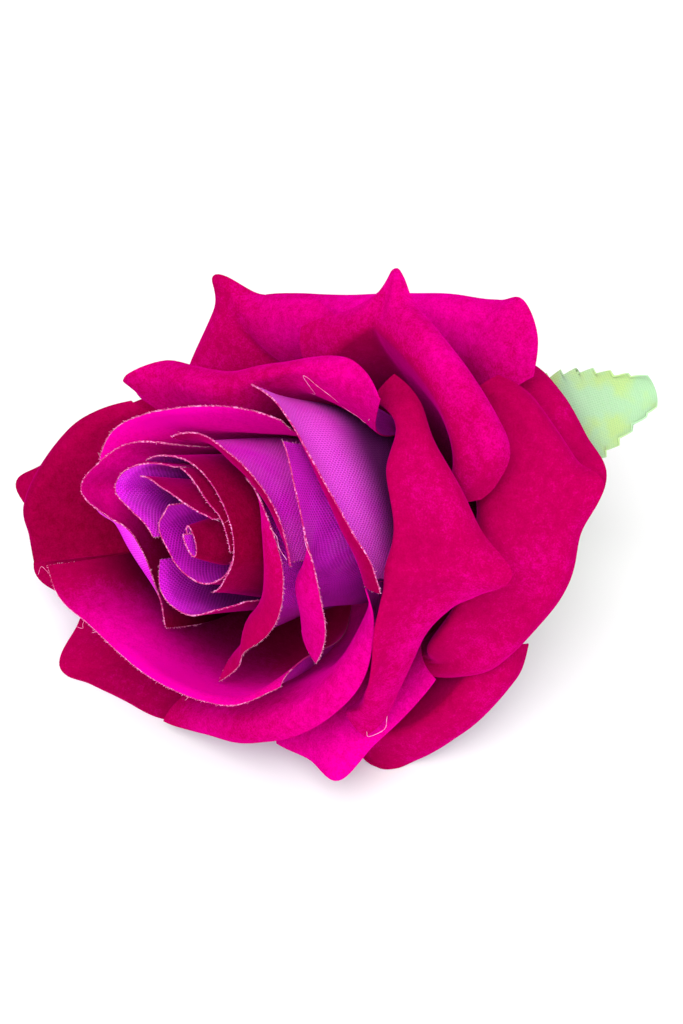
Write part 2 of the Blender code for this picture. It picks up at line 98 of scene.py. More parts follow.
CENTRE_FOOT = 17.35
CENTRE_TOP = 56.4
CENTRE_TOP_DROP = 2.4
CENTRE_HEIGHT = 39.05
CENTRE_START_AZIMUTH = 120
CENTRE_TURN = 450
CENTRE_ROOT_RADIUS = 0.75
CENTRE_RADIUS = 2.5
CENTRE_SWELL = 2.3
CENTRE_NARROWING = 2.4
CENTRE_OFFSET = (-0.5, -0.6)
CENTRE_LEAN = (1.9, 1.6)
MOUTH_AZIMUTH = 115
MOUTH_FLATNESS = 0.62

# Steps round and rows of the rolled centre, coarse and fine, and the coarse row where its mouth begins.
CENTRE_COARSE = (16, 7)
CENTRE_FINE = (96, 40)
CENTRE_MOUTH_ROW = 5

# How often petals are pressed apart, and in how many of these turns the pushes are evened out.
PRESS_TURNS = 18
SMOOTH_TURNS = 14
NEAR_GAP = GAP * MM * 0.95
CORNERS = ((0, 0), (1, 0), (1, 1), (0, 1))

# Steps between two rim points, rows and hem rows of a fine petal.
FINE_STEPS = 10
FINE_ROWS = 28
FINE_HEM_ROWS = 9

# How far a loose thread hangs out and lies off the cloth, in metres, and where the flower lies in the
# picture from its middle, in millimetres.
THREAD_OVERHANG = 0.030
THREAD_LIFT = 0.00030
HEAD_OFFSET = (10.53, -1.98)

# How far frayed thread ends lean along the edge and tilt off the cloth, how far they start inside it, how
# their lengths vary, and how many are longer still and by how much.
END_LEAN = 0.45
END_TILT = 0.35
END_INSIDE = 0.00008
END_LENGTHS = (0.5, 0.7, 0.9, 1.1, 1.5)
LONG_END_SHARE = 0.03
LONG_END = 2.4

# Where the lights stand from the middle of the picture, and how wide they are, in metres.
KEY_PLACE = Vector((-0.10, -0.40, 0.72))
KEY_SIZE = 0.55
FILL_BACK = 0.8
FILL_SIDE = 0.1
FILL_SIZE = 0.5

# Each rim point: azimuth, radius, height, lean of the cloth there (90 upright), roll of the hem, and for
# the petals that arch over, radius and height of the arch.
# Roots: azimuth at the first and last rim point, radius on the cone. Rise: lean of the cloth at the root.
PETALS = [
    ("bud_inner_cup_petal", (150, 330), 3.4, 68, 2.0, [
        (126, 8.2, 54, 92, 0), (146, 8.6, 53, 95, 5), (165, 9.4, 52, 98, 5), (192, 7.8, 51, 98, 5),
        (226, 6.4, 51, 98, 5), (262, 6.2, 50.5, 96, 5), (300, 6.0, 50.5, 95, 5), (325, 6.4, 51, 95, 5),
        (345, 7.2, 52, 95, 5)]),
    ("bud_top_inner_petal", (50, 125), 3.9, 68, 2.0, [
        (37, 8.2, 56, 96, 5), (58, 7.4, 57, 96, 5), (86, 7.8, 57, 96, 5), (116, 10.8, 56, 92, 5),
        (136, 15.7, 54, 80, 5)]),
    ("bud_top_middle_petal", (10, 90), 4.8, 66, 2.0, [
        (-1, 8.3, 54, 96, 5), (24, 8.6, 55, 96, 5), (50, 9.0, 56, 95, 5), (71, 10.3, 56, 92, 5),
        (96, 12.7, 55, 88, 5)]),
    ("bud_left_petal", (118, 176), 5.4, 60, 2.0, [
        (107, 13.5, 54, 85, 5), (125, 16.0, 55, 80, 5), (142, 18.0, 55.5, 76, 0), (154, 18.4, 54.5, 80, 5),
        (159, 14.6, 54, 90, 5), (165, 11.8, 53, 96, 5), (176, 11.0, 51.5, 96, 5)]),
    ("bud_wrap_petal", (-62, 112), 6.4, 60, 2.0, [
        (-82, 7.4, 50, 98, 5), (-40, 7.0, 52, 98, 5), (-5, 8.6, 54, 98, 5), (28, 10.0, 55, 96, 5),
        (62, 11.6, 55, 94, 5), (98, 14.4, 54, 90, 5), (129, 17.4, 53, 82, 5)]),
    ("bud_bottom_petal", (204, 284), 6.4, 56, 2.0, [
        (194, 15.4, 46, 82, 5), (214, 15.3, 48, 82, 5), (237, 13.6, 49, 86, 5), (256, 12.0, 50, 90, 5),
        (274, 10.5, 49, 92, 5), (293, 9.9, 46, 92, 5)]),
    ("right_ribbon_petal", (-84, 40), 7.6, 56, 12.0, [
        (-103, 24.2, 42, 75, 60), (-91, 20.4, 43, 82, 85), (-79, 16.9, 45, 86, 104),
        (-42, 16.2, 48, 90, 108), (-8, 17.0, 52, 90, 105), (20, 15.8, 53, 94, 80), (50, 14.4, 52, 97, 30)]),
    ("right_inner_petal", (6, 92), 8.9, 54, 7.0, [
        (-6, 18.8, 52, 94, 60), (15, 19.8, 55, 92, 75), (34, 19.4, 56, 92, 75), (57, 18.6, 56, 92, 65),
        (80, 18.4, 55, 92, 45), (103, 18.0, 54, 90, 20)]),
    ("left_inner_petal", (126, 214), 7.8, 44, 8.0, [
        (120, 18.6, 50, 85, 5), (136, 22.8, 52, 75, 5), (149, 24.6, 54, 68, -5), (162, 26.0, 54.5, 72, -35),
        (168, 19.6, 54.5, 92, -85), (173, 16.0, 52.5, 98, -95), (185, 15.0, 50.5, 98, -92),
        (200, 16.0, 48, 95, -70), (213, 18.8, 45.5, 92, -45), (223, 23.0, 43, 90, -10)]),
    ("top_inner_petal", (62, 142), 10.2, 46, 2.0, [
        (51, 26.6, 51, 62, 5), (63, 25.0, 53, 58, 5), (80, 23.0, 54, 55, 5), (98, 22.4, 54, 55, 5),
        (118, 23.7, 53, 55, 5), (138, 26.6, 52, 52, 5), (153, 28.2, 50, 50, 5)]),
    ("right_second_petal", (-44, 32), 10.2, 44, 13.0, [
        (-53, 23.6, 40, 84, 100), (-34, 24.0, 45, 86, 114), (-19, 24.2, 49, 88, 108),
        (-5, 24.3, 52, 92, 80), (8, 24.2, 54, 95, 45), (24, 25.0, 55, 92, 22), (42, 26.2, 54, 86, 10)]),
    ("lower_left_cup_petal", (172, 256), 9.8, 28, 3.0, [
        (189, 42.2, 47, 42, 0), (198, 37.2, 50, 56, 10), (210, 30.8, 51, 75, 20), (227, 26.6, 52, 90, 30),
        (250, 24.8, 52, 98, 35), (268, 25.4, 50.5, 94, 35), (283, 25.8, 49, 82, 30),
        (292, 24.6, 43, 64, 25)]),
    ("bottom_ring_petal", (246, 338), 11.5, 28, 6.5, [
        (234, 39.6, 38, 45, 60), (250, 33.4, 40, 50, 100), (271, 30.2, 42, 52, 115),
        (293, 28.8, 42, 55, 115), (315, 27.8, 42, 58, 110), (333, 27.4, 43, 66, 70),
        (349, 27.2, 44, 80, 15)]),
    ("right_purple_petal", (2, 62), 12.4, 40, 9.0, [
        (-10, 32.4, 46, 76, 85), (0, 33.4, 50, 80, 80), (9, 32.4, 53, 86, 70), (22, 30.4, 54, 90, 60),
        (36, 29.2, 54, 90, 45), (52, 29.2, 53, 88, 30), (70, 27.6, 50, 80, 10)]),
    ("left_dark_petal", (144, 182), 11.6, 30, 4.0, [
        (137, 32.0, 44, 60, 40), (150, 36.4, 48, 58, 80), (163, 39.7, 50, 55, 100),
        (175, 43.0, 51, 52, 110), (182, 43.0, 50, 50, 90), (188, 44.5, 48, 48, 40)]),
    ("top_rolled_petal", (64, 132), 13.6, 34, 7.0, [
        (38, 38.8, 44.5, 40, 0), (46, 37.4, 46, 40, 50), (57, 33.6, 47, 38, 120), (72, 28.4, 47, 38, 140),
        (92, 25.4, 47, 38, 140), (112, 28.6, 47, 38, 130), (130, 35.2, 46, 35, 0), (136, 32.7, 44, 45, 60)]),
    ("right_folded_petal", (-54, 40), 14.2, 46, 5.0, [
        (-64, 36.2, 31, -10, 40, 30.0, 28.5), (-53, 36.4, 31.5, -45, 50, 31.6, 34.5),
        (-42, 35.6, 33, -55, 60, 31.6, 39.4), (-24, 36.0, 35, -55, 80, 31.2, 43.2),
        (-14, 38.8, 35, -45, 75, 31.6, 44.2), (-9, 42.4, 34.5, -35, 55, 32.2, 44.6),
        (-3, 48.2, 34, -30, 0, 32.6, 45.0), (6, 43.2, 36, -30, 80, 34.0, 44.5),
        (24, 39.8, 38, -25, 100, 32.6, 41.5), (37, 39.2, 38, -5, 90, 33.8, 34.5),
        (47, 37.4, 36, 10, 40, 31.8, 29)]),
    ("upper_right_petal", (24, 78), 15.6, 24, 6.0, [
        (12, 38.4, 31, 25, 50, 32.0, 28.6), (15, 42.2, 31.8, 10, 80, 35.5, 30.5),
        (21, 46.8, 33, 5, 120, 39.0, 32.4), (31, 48.0, 35, 0, 140, 41.0, 34.0),
        (46, 47.4, 36, 5, 130, 41.0, 34.6), (56, 47.0, 34.5, 5, 90, 40.4, 33.6),
        (60.5, 50.8, 33, 5, 0, 39.6, 32.2), (64, 44.6, 34, 10, 60, 36.6, 31.8),
        (71, 38.6, 34, 20, 80, 31.4, 30.6), (84, 33.6, 33, 40, 50, 25.0, 27.0)]),
    ("bottom_tip_petal", (276, 318), 13.8, 26, 5.0, [
        (264, 35.2, 31, 30, 50), (274, 37.6, 30.5, 15, 50), (284, 41.8, 29.5, 0, 0),
        (294, 37.0, 28, 10, 50), (306, 34.5, 26, 20, 50), (318, 33.0, 24, 30, 40)]),
    ("upper_left_outer_petal", (80, 130), 15.8, 14, 6.0, [
        (66, 34.6, 25, 30, 40), (77, 37.2, 27, 15, 0), (90, 38.7, 28, 20, 80), (106, 41.4, 28, 15, 80),
        (113, 48.0, 28, 10, 0), (120, 42.8, 28, 20, 70), (137, 38.3, 27, 30, 50)]),
    ("right_outer_petal", (-40, 28), 16.8, 16, 6.0, [
        (-49, 28.6, 22, 20, 40, 23.0, 20), (-41, 34.5, 21, 0, 80, 28.0, 23),
        (-33, 38.8, 20, -10, 90, 30, 25), (-20, 42.6, 18.5, -15, 90, 32.5, 26),
        (-7, 47.8, 19, -20, 80, 34.5, 26), (3, 50.2, 19, -25, 70, 35.0, 25.5),
        (11, 55.2, 18, -25, 0, 35.4, 24.6), (16, 51.8, 20, -20, 80, 35.8, 24.8),
        (22, 49.6, 21, -10, 110, 36.4, 25.6), (30, 48.0, 22.5, -5, 110, 36.0, 26.4),
        (37, 45.0, 24, 10, 60, 35.0, 26.5)]),
    ("top_back_petal", (48, 104), 17.8, 6, 6.0, [
        (36, 46.0, 14.5, 0, 40), (41, 51.4, 16, -5, 50), (46.5, 54.4, 16.5, -10, 10),
        (51, 50.6, 17.5, 0, 60), (58, 46.8, 18.5, 5, 80), (76, 41.0, 20, 10, 90), (94, 40.0, 20, 10, 90),
        (114, 44.2, 19, 5, 40)]),
    ("lower_left_outer_petal", (204, 232), 13.6, 24, 3.0, [
        (196, 42.0, 38, 50, 10, 37.0, 31), (203, 45.4, 40, 50, 10, 38.0, 28),
        (209, 53.4, 40, 50, 0, 39.5, 25), (215, 52.5, 36, 52, 10, 40.0, 22.5),
        (222, 48.6, 34, 54, 10, 39.0, 20.5), (230, 45.6, 32, 54, 10, 37.5, 19),
        (238, 41.0, 28, 54, 10, 35.5, 18)]),
    ("left_outer_petal", (156, 196), 13.6, 26, 4.0, [
        (148, 41.5, 30, 30, 40, 34.0, 26), (159, 46.5, 36, 30, 60, 37.0, 30),
        (168, 51.5, 40, 25, 40, 40.0, 32.5), (173, 55.9, 42, 20, 0, 41.0, 34),
        (181, 50.0, 42, 30, 60, 40.5, 35), (190, 51.6, 42, 30, 15, 40.5, 35),
        (196, 49.0, 38, 30, 50, 40.0, 33), (204, 43.0, 31, 35, 50, 36.5, 27)]),
    ("lower_right_outer_petal", (276, 328), 17.4, 26, 6.0, [
        (264, 35.8, 15, 0, 30, 30.0, 15), (276, 43.2, 12.5, -15, 0, 34.0, 15.5),
        (286, 42.9, 12, -25, 70, 35.5, 16), (301, 41.6, 12, -30, 90, 35.5, 16),
        (318, 41.2, 12, -30, 90, 34.5, 15.5), (326, 41.2, 12, -30, 80, 34.2, 15.2),
        (333, 39.8, 11.5, -30, 60, 33.6, 15)]),
    ("right_back_petal", (10, 48), 19.8, 14, 5.0, [
        (3, 43.0, 7, -30, 40, 35.0, 11), (13, 49.7, 8, -30, 10, 38.0, 13),
        (22, 47.3, 8, -25, 70, 38.0, 13.5), (32, 46.3, 8, -25, 70, 37.5, 12.5),
        (41, 44.4, 8, -20, 60, 36.0, 11.5), (50, 40.0, 8, -10, 40, 33.0, 10)]),
]

BUD_PETALS = ("bud_inner_cup_petal", "bud_top_inner_petal", "bud_top_middle_petal", "bud_left_petal",
              "bud_wrap_petal", "bud_bottom_petal")
INNER_PETALS = ("right_ribbon_petal", "right_inner_petal", "left_inner_petal", "top_inner_petal",
                "right_second_petal", "lower_left_cup_petal", "right_purple_petal")
FRAYED = BUD_PETALS + INNER_PETALS + ("rolled_centre",)

# Painted light and shade: brightness painted into the velvet at the first side, middle and last side of the
# rim and at the root, where a low value is painted shade, then the paleness painted into the woven back where
# it is lit.
PAINTED_LIGHT_TONES = {
    "bud_inner_cup_petal": (0.10, 0.15, 0.10, 0.05, 0.35),
    "bud_top_inner_petal": (0.10, 0.12, 0.10, 0.05, 0.60),
    "bud_top_middle_petal": (0.15, 0.12, 0.10, 0.05, 0.60),
    "bud_left_petal": (0.10, 0.15, 0.10, 0.05, 0.60), "bud_wrap_petal": (0.10, 0.15, 0.20, 0.05, 0.60),
    "bud_bottom_petal": (0.15, 0.15, 0.10, 0.05, 0.50),
    "right_ribbon_petal": (0.50, 0.44, 0.75, 0.05, 0.55),
    "right_inner_petal": (0.15, 0.15, 0.20, 0.05, 0.75), "left_inner_petal": (0.74, 0.72, 0.10, 0.20, 0.70),
    "top_inner_petal": (0.75, 1.00, 1.00, 0.60, 0.40), "right_second_petal": (0.70, 0.64, 0.80, 0.05, 0.55),
    "lower_left_cup_petal": (0.38, 1.00, 0.75, 0.40, 0.15),
    "bottom_ring_petal": (0.52, 0.66, 0.80, 0.95, 0.15),
    "right_purple_petal": (0.20, 0.25, 0.20, 0.05, 1.00), "left_dark_petal": (0.40, 0.22, 0.15, 0.05, 0.30),
    "top_rolled_petal": (0.70, 0.62, 0.62, 0.30, 0.30),
    "right_folded_petal": (0.50, 0.58, 0.40, 0.36, 0.30),
    "upper_right_petal": (0.52, 0.66, 0.52, 0.40, 0.30), "bottom_tip_petal": (0.72, 0.78, 0.78, 0.40, 0.30),
    "upper_left_outer_petal": (0.72, 0.62, 0.50, 0.40, 0.30),
    "right_outer_petal": (0.44, 0.50, 0.36, 0.32, 0.30), "top_back_petal": (0.62, 0.76, 0.66, 0.50, 0.30),
    "lower_left_outer_petal": (0.35, 0.46, 0.50, 0.20, 0.30),
    "left_outer_petal": (0.30, 0.30, 0.38, 0.20, 0.30),
    "lower_right_outer_petal": (0.50, 0.52, 0.40, 0.20, 0.30),
    "right_back_petal": (0.40, 0.45, 0.40, 0.25, 0.30), "rolled_centre": (0.15, 0.15, 0.15, 0.05, 0.50),
}
# Painted shade of the hollows: share of the height where the painted dark ends and where full colour starts,
# then how dark the hollow is painted. Six numbers give these three for the first side and for the last side.
PLAIN_SHADE = (0.10, 0.45, 0.5)
SHADES = {
    "lower_left_cup_petal": (0.50, 0.80, 0.08, -0.20, 0.35, 1.20), "right_purple_petal": (0.54, 0.72, 0.12),
    "right_second_petal": (0.35, 0.60, 0.35), "right_ribbon_petal": (0.40, 0.62, 0.30),
    "left_inner_petal": (0.50, 0.75, 0.30, 0.60, 1.10, 0.05), "bud_bottom_petal": (0.55, 0.85, 0.25),
    "bottom_ring_petal": (0.0, 0.1, 1.0), "bud_wrap_petal": (0.50, 0.80, 0.40),
    "bud_left_petal": (0.55, 0.85, 0.25),
}

# Loose threads: places as share of a petal's width and height, where a height over 1 lies past the rim.
LOOSE_THREADS = {
    "top_rolled_petal": [
        [(0.31, 0.62), (0.28, 0.66), (0.29, 0.70), (0.30, 0.745), (0.28, 0.755), (0.25, 0.74), (0.22, 0.70),
         (0.17, 0.66), (0.12, 0.64), (0.07, 0.66), (0.03, 0.72)]],
    "right_folded_petal": [
        [(0.02, 0.97), (0.01, 1.02), (0.05, 1.06), (0.09, 1.02), (0.13, 1.00)]],
    "lower_left_cup_petal": [
        [(0.26, 0.98), (0.27, 1.02), (0.28, 1.04), (0.27, 1.06)], [(0.03, 0.99), (0.00, 1.03), (0.03, 1.06)]],
    "right_second_petal": [
        [(0.66, 0.99), (0.64, 1.03), (0.60, 1.02), (0.57, 1.04), (0.55, 1.00)]],
    "right_ribbon_petal": [
        [(0.80, 0.99), (0.77, 1.03), (0.73, 1.02), (0.70, 1.05)]],
}


def flower_matrix():
    across = Vector((1.0, 0.0, 0.0))
    across = (across - across.dot(FLOWER_AXIS) * FLOWER_AXIS).normalized()
    upward = FLOWER_AXIS.cross(across)
    turn = Matrix((across, upward, FLOWER_AXIS)).transposed().to_4x4()
    return Matrix.Translation(HEAD_BASE) @ turn


TO_WORLD = flower_matrix()


def place(azimuth, radius, height):
    a = math.radians(azimuth)
    flower = Vector((radius * math.cos(a), radius * math.sin(a), height)) * MM
    return TO_WORLD @ flower


def cone_height(radius):
    share = (radius - CONE_TOP_RADIUS) / (CONE_FOOT_RADIUS - CONE_TOP_RADIUS)
    return CONE_TOP_HEIGHT + share * (CONE_FOOT_HEIGHT - CONE_TOP_HEIGHT)


def smooth_value(points, x):
    """Catmull-Rom value of a list of numbers or vectors at a fractional place in it."""
    last = len(points) - 1
    i = min(int(x), last - 1)
    f = x - i
    p1 = points[i]
    p2 = points[i + 1]
    p0 = points[i - 1] if i > 0 else 2 * p1 - p2
    p3 = points[i + 2] if i + 2 <= last else 2 * p2 - p1
    return 0.5 * (2 * p1 + (p2 - p0) * f + (2 * p0 - 5 * p1 + 4 * p2 - p3) * f * f
                  + (3 * p1 - p0 - 3 * p2 + p3) * f * f * f)


def along(points, s):
    """Smooth values at s from 0 to 1 along a list of tuples."""
    return [smooth_value(values, s * (len(points) - 1)) for values in zip(*points)]


def bezier(a, b, c, d, t):
    u = 1.0 - t
    return tuple(u ** 3 * i + 3 * u * u * t * j + 3 * u * t * t * k + t ** 3 * m
                 for i, j, k, m in zip(a, b, c, d))


def stepped(point, angle, length):
    return (point[0] + length * math.cos(angle), point[1] + length * math.sin(angle))


def column(root_azimuth, root_radius, rise, hem, rim, rows, hem_rows, cut):
    """Points from root to hem edge in one column of a petal, as azimuth, radius, height.

    A cut hem ends at the rim point; a rolled hem only touches it with its outermost fold.
    """
    azimuth, radius, height, lean, roll = rim[:5]
    lean = math.radians(lean)
    roll = math.radians(math.copysign(max(abs(roll), 2.0), roll))
    reach = hem * math.sin(min(roll, math.pi / 2)) / roll
    top = stepped((radius, height), lean, -reach)
    if cut:
        top = stepped(top, lean - math.pi / 2, -hem * (1.0 - math.cos(roll)) / roll)
    foot = (root_radius, cone_height(root_radius) + ROOT_CLEARANCE * 1.4)
    up = math.radians(rise)
    if len(rim) == 5:
        span = math.dist(foot, top)
        arcs = [(foot, stepped(foot, up, 0.42 * span), stepped(top, lean, -0.36 * span), top, 0, rows)]
    else:
        crest = tuple(rim[5:7])
        inward = math.atan2(crest[1] - foot[1], crest[0] - foot[0])
        first = math.dist(foot, crest)
        second = math.dist(crest, top)
        half = rows * 4 // 7
        arcs = [(foot, stepped(foot, up, 0.38 * first), stepped(crest, inward, -0.30 * first), crest,
                 0, half),
                (crest, stepped(crest, inward, 0.36 * second), stepped(top, lean, -0.30 * second), top,
                 half, rows)]
    points = []
    for a, b, c, d, start, end in arcs:
        for j in range(start if start == 0 else start + 1, end + 1):
            r, w = bezier(a, b, c, d, (j - start) / (end - start))
            spread = 1.0 - (1.0 - j / rows) ** 2.2
            points.append((root_azimuth + (azimuth - root_azimuth) * spread, r, w))
    curl = hem / roll
    for j in range(1, hem_rows + 1):
        turned = lean - roll * j / hem_rows
        r = top[0] + curl * (math.sin(lean) - math.sin(turned))
        w = top[1] - curl * (math.cos(lean) - math.cos(turned))
        points.append((azimuth, r, w))
    return points


def petal_grid(row, steps=2, rows=BODY_ROWS, hem_rows=HEM_ROWS):
    name, roots, root_radius, rise, hem, rim = row
    count = (len(rim) - 1) * steps
    grid = []
    for i in range(count + 1):
        s = i / count
        root_azimuth = roots[0] + (roots[1] - roots[0]) * s
        points = column(root_azimuth, root_radius, rise, hem, along(rim, s), rows, hem_rows, name in FRAYED)
        grid.append([place(*p) for p in points])
    return grid


def quads(grid, first=0, last=None):
    rows = len(grid[0])
    last = rows - 1 if last is None else last
    faces = []
    for i in range(len(grid) - 1):
        for j in range(first, last):
            a = i * rows + j
            faces.append((a, a + rows, a + rows + 1, a + 1))
    return faces


def tree(grid, first=0, last=None):
    points = [p for line in grid for p in line]
    return BVHTree.FromPolygons(points, quads(grid, first, last))


def push_for(point, body, hem, gap):
    """How far a point of an outer petal has to move to lie a gap outside an inner petal."""
    push = Vector()
    hit, normal, index, distance = body.find_nearest(point, 6 * MM)
    if hit is not None:
        offset = point - hit
        signed = offset.dot(normal)
        sideways = (offset - signed * normal).length
        if sideways < 0.25 * distance + 0.02 * MM:
            if signed < gap:
                push = normal * (gap - signed)
        elif distance < gap:
            push = normal * (gap - distance) * 0.6
    hit, normal, index, distance = hem.find_nearest(point, gap)
    if hit is not None and distance > 1e-7:
        away = (point - hit) / distance
        push = push + away * (gap - distance)
    return push


def keep_longer(pushes, places, push):
    """Keep the longer push at each place, and tell whether any place got a longer one."""
    grew = [(i, j) for i, j in places if push.length > pushes[i][j].length]
    for i, j in grew:
        pushes[i][j] = push
    return bool(grew)


def smooth_shift(grid, start):
    """Even out how far the points have moved from their start, apart from the root row."""
    wide = len(grid)
    high = len(grid[0])
    shift = [[grid[i][j] - start[i][j] for j in range(high)] for i in range(wide)]
    for i in range(wide):
        for j in range(1, high):
            near = [shift[a][b] for a, b in ((i - 1, j), (i + 1, j), (i, j - 1), (i, j + 1))
                    if 0 <= a < wide and 0 <= b < high]
            smooth = shift[i][j] * 0.65 + sum(near, Vector()) / len(near) * 0.35
            grid[i][j] = start[i][j] + smooth


def press_outward(grid, placed):
    """Move a petal clear of the petals already placed inside it, as cloth pressed outward."""
    wide = len(grid)
    high = len(grid[0])
    start = [[p.copy() for p in line] for line in grid]
    for turn in range(PRESS_TURNS):
        pushes = [[Vector() for p in line] for line in grid]
        moved = False
        for body, hem, corners in placed:
            for i in range(wide):
                for j in range(high):
                    moved |= keep_longer(pushes, [(i, j)], push_for(grid[i][j], body, hem, GAP * MM))
            for i in range(wide - 1):
                for j in range(high - 1):
                    middle = (grid[i][j] + grid[i + 1][j] + grid[i + 1][j + 1] + grid[i][j + 1]) / 4
                    places = [(i + a, j + b) for a, b in CORNERS]
                    moved |= keep_longer(pushes, places, push_for(middle, body, hem, NEAR_GAP))
        mine = tree(grid, 0, high - HEM_ROWS)
        for body, hem, corners in placed:
            for corner in corners:
                hit, normal, index, distance = mine.find_nearest(corner, 4 * MM)
                if hit is None:
                    continue
                signed = (corner - hit).dot(normal)
                if abs(signed) < 0.97 * distance or signed < -NEAR_GAP:
                    continue
                i, j = divmod(index, high - HEM_ROWS)
                places = [(i + a, j + b) for a, b in CORNERS]
                moved |= keep_longer(pushes, places, normal * (signed + NEAR_GAP))
        if not moved:
            break
        for i in range(wide):
            for j in range(high):
                grid[i][j] = grid[i][j] + pushes[i][j] * 0.8
        if turn < SMOOTH_TURNS:
            smooth_shift(grid, start)
    return grid


def rest_on_table(grid):
    """Flatten what would dip below the table into a small flat spot."""
    lowest = CLOTH * MM / 2
    for line in grid:
        for point in line:
            if point.z < lowest:
                point.z = lowest
    return grid


def rolled_centre(turns, rows, flatten=0.0):
    """A strip of cloth rolled into a cone of one and a quarter turns in the middle of the bud.

    flatten presses the mouth of the roll together across the direction of MOUTH_AZIMUTH.
    """
    grid = []
    turn = math.radians(MOUTH_AZIMUTH)
    mouth = Vector((math.cos(turn), math.sin(turn)))
    for i in range(turns + 1):
        s = i / turns
        angle = math.radians(CENTRE_START_AZIMUTH + CENTRE_TURN * s)
        line = []
        for j in range(rows + 1):
            top = CENTRE_TOP - CENTRE_TOP_DROP * s
            height = CENTRE_FOOT + (top - CENTRE_FOOT) * (j / rows) ** 0.8
            h = (height - CENTRE_FOOT) / CENTRE_HEIGHT
            swell = CENTRE_SWELL * math.sin(math.pi / 2 * min(1.0, h * 1.25))
            body = CENTRE_RADIUS + swell - CENTRE_NARROWING * max(0.0, h - 0.78) / 0.22
            radius = CENTRE_ROOT_RADIUS + (body - CENTRE_ROOT_RADIUS) * (0.35 + 0.65 * s)
            spot = Vector((math.cos(angle), math.sin(angle))) * radius
            lengthwise = mouth * spot.dot(mouth)
            squeeze = flatten * min(1.0, max(0.0, (h - 0.55) / 0.40)) ** 1.5
            spot = lengthwise * (1.0 + 0.25 * squeeze) + (spot - lengthwise) * (1.0 - squeeze)
            x, y = [at + lean * h ** 4 for at, lean in zip(CENTRE_OFFSET, CENTRE_LEAN)]
            line.append(TO_WORLD @ (Vector((x + spot.x, y + spot.y, height)) * MM))
        grid.append(line)
    return grid


def length_setting(label, value, words):
    return FloatProperty(name=label, description=words, default=value, unit="LENGTH", precision=5)


def power_setting(label, value, words):
    return FloatProperty(name=label, description=words, default=value, unit="POWER")


def colour_setting(label, value, words):
    return FloatVectorProperty(name=label, description=words, subtype="COLOR", size=4,
                               default=value + (1.0,), min=0, max=1)


class RoseSettings(bpy.types.PropertyGroup):
    cloth_thickness: length_setting("Cloth thickness", 0.00026, "Thickness of the velvet and the leaf cloth")
    waviness: length_setting("Waviness", 0.00030, "How far a petal waves in and out of its smooth shape")
    thread_width: length_setting("Thread width", 0.00009, "Thickness of one thread of the cloth")
    thread_pitch: length_setting("Thread pitch", 0.00030, "Distance between cut thread ends on an edge")
    fray_length: length_setting("Fray length", 0.00024, "Usual length of a frayed thread end")
    # The three velvet colours are mixed by the painted light tone: deep is painted shade, bright is painted
    # light and sheen; the pile shifts them at random.
    velvet_deep: colour_setting("Velvet deep", (0.19, 0.0, 0.020), "Where the pile lies away")
    velvet_middle: colour_setting("Velvet middle", (0.42, 0.0, 0.080), "Over most of a petal")
    velvet_bright: colour_setting("Velvet bright", (0.92, 0.0, 0.420), "Where the pile faces the light")
    # The three back colours are mixed by the painted light and shade of the woven back, and by random
    # patches.
    back_deep: colour_setting("Back deep", (0.34, 0.0, 0.30), "Deepest colour of the woven back")
    back_middle: colour_setting("Back middle", (0.88, 0.018, 0.86), "Usual colour of the woven back")
    back_pale: colour_setting("Back pale", (0.90, 0.100, 0.86), "Palest colour of the woven back")
    edge_colour: colour_setting("Cut edge", (1.0, 0.33, 0.68), "Cut edges and loose threads")
    leaf_colour: colour_setting("Leaf", (0.43, 0.72, 0.41), "Leaf cloth")
    calyx_colour: colour_setting("Calyx", (0.16, 0.34, 0.07), "Moulded calyx and stem")
    receptacle_colour: colour_setting("Receptacle", (0.45, 0.50, 0.34), "Moulded core")


class StageSettings(bpy.types.PropertyGroup):
    floor_size: length_setting("Floor size", 6.0, "Width of the floor")
    floor_colour: colour_setting("Floor", (0.90, 0.90, 0.90), "Colour of the floor")
    camera_elevation: FloatProperty(name="Camera elevation", description="Angle above the horizon",
                                    default=math.radians(50.0), subtype="ANGLE")
    camera_distance: length_setting("Camera distance", 0.3584, "From the middle of the picture")
    lens: FloatProperty(name="Lens", description="Focal length of the camera", default=70.0, unit="CAMERA")
    key_power: power_setting("Key light", 5.2, "Power of the big soft light")
    fill_power: power_setting("Fill light", 1.5, "Power of the light on the other side")
    sky_strength: FloatProperty(name="Sky", description="Strength of the even light", default=0.70)


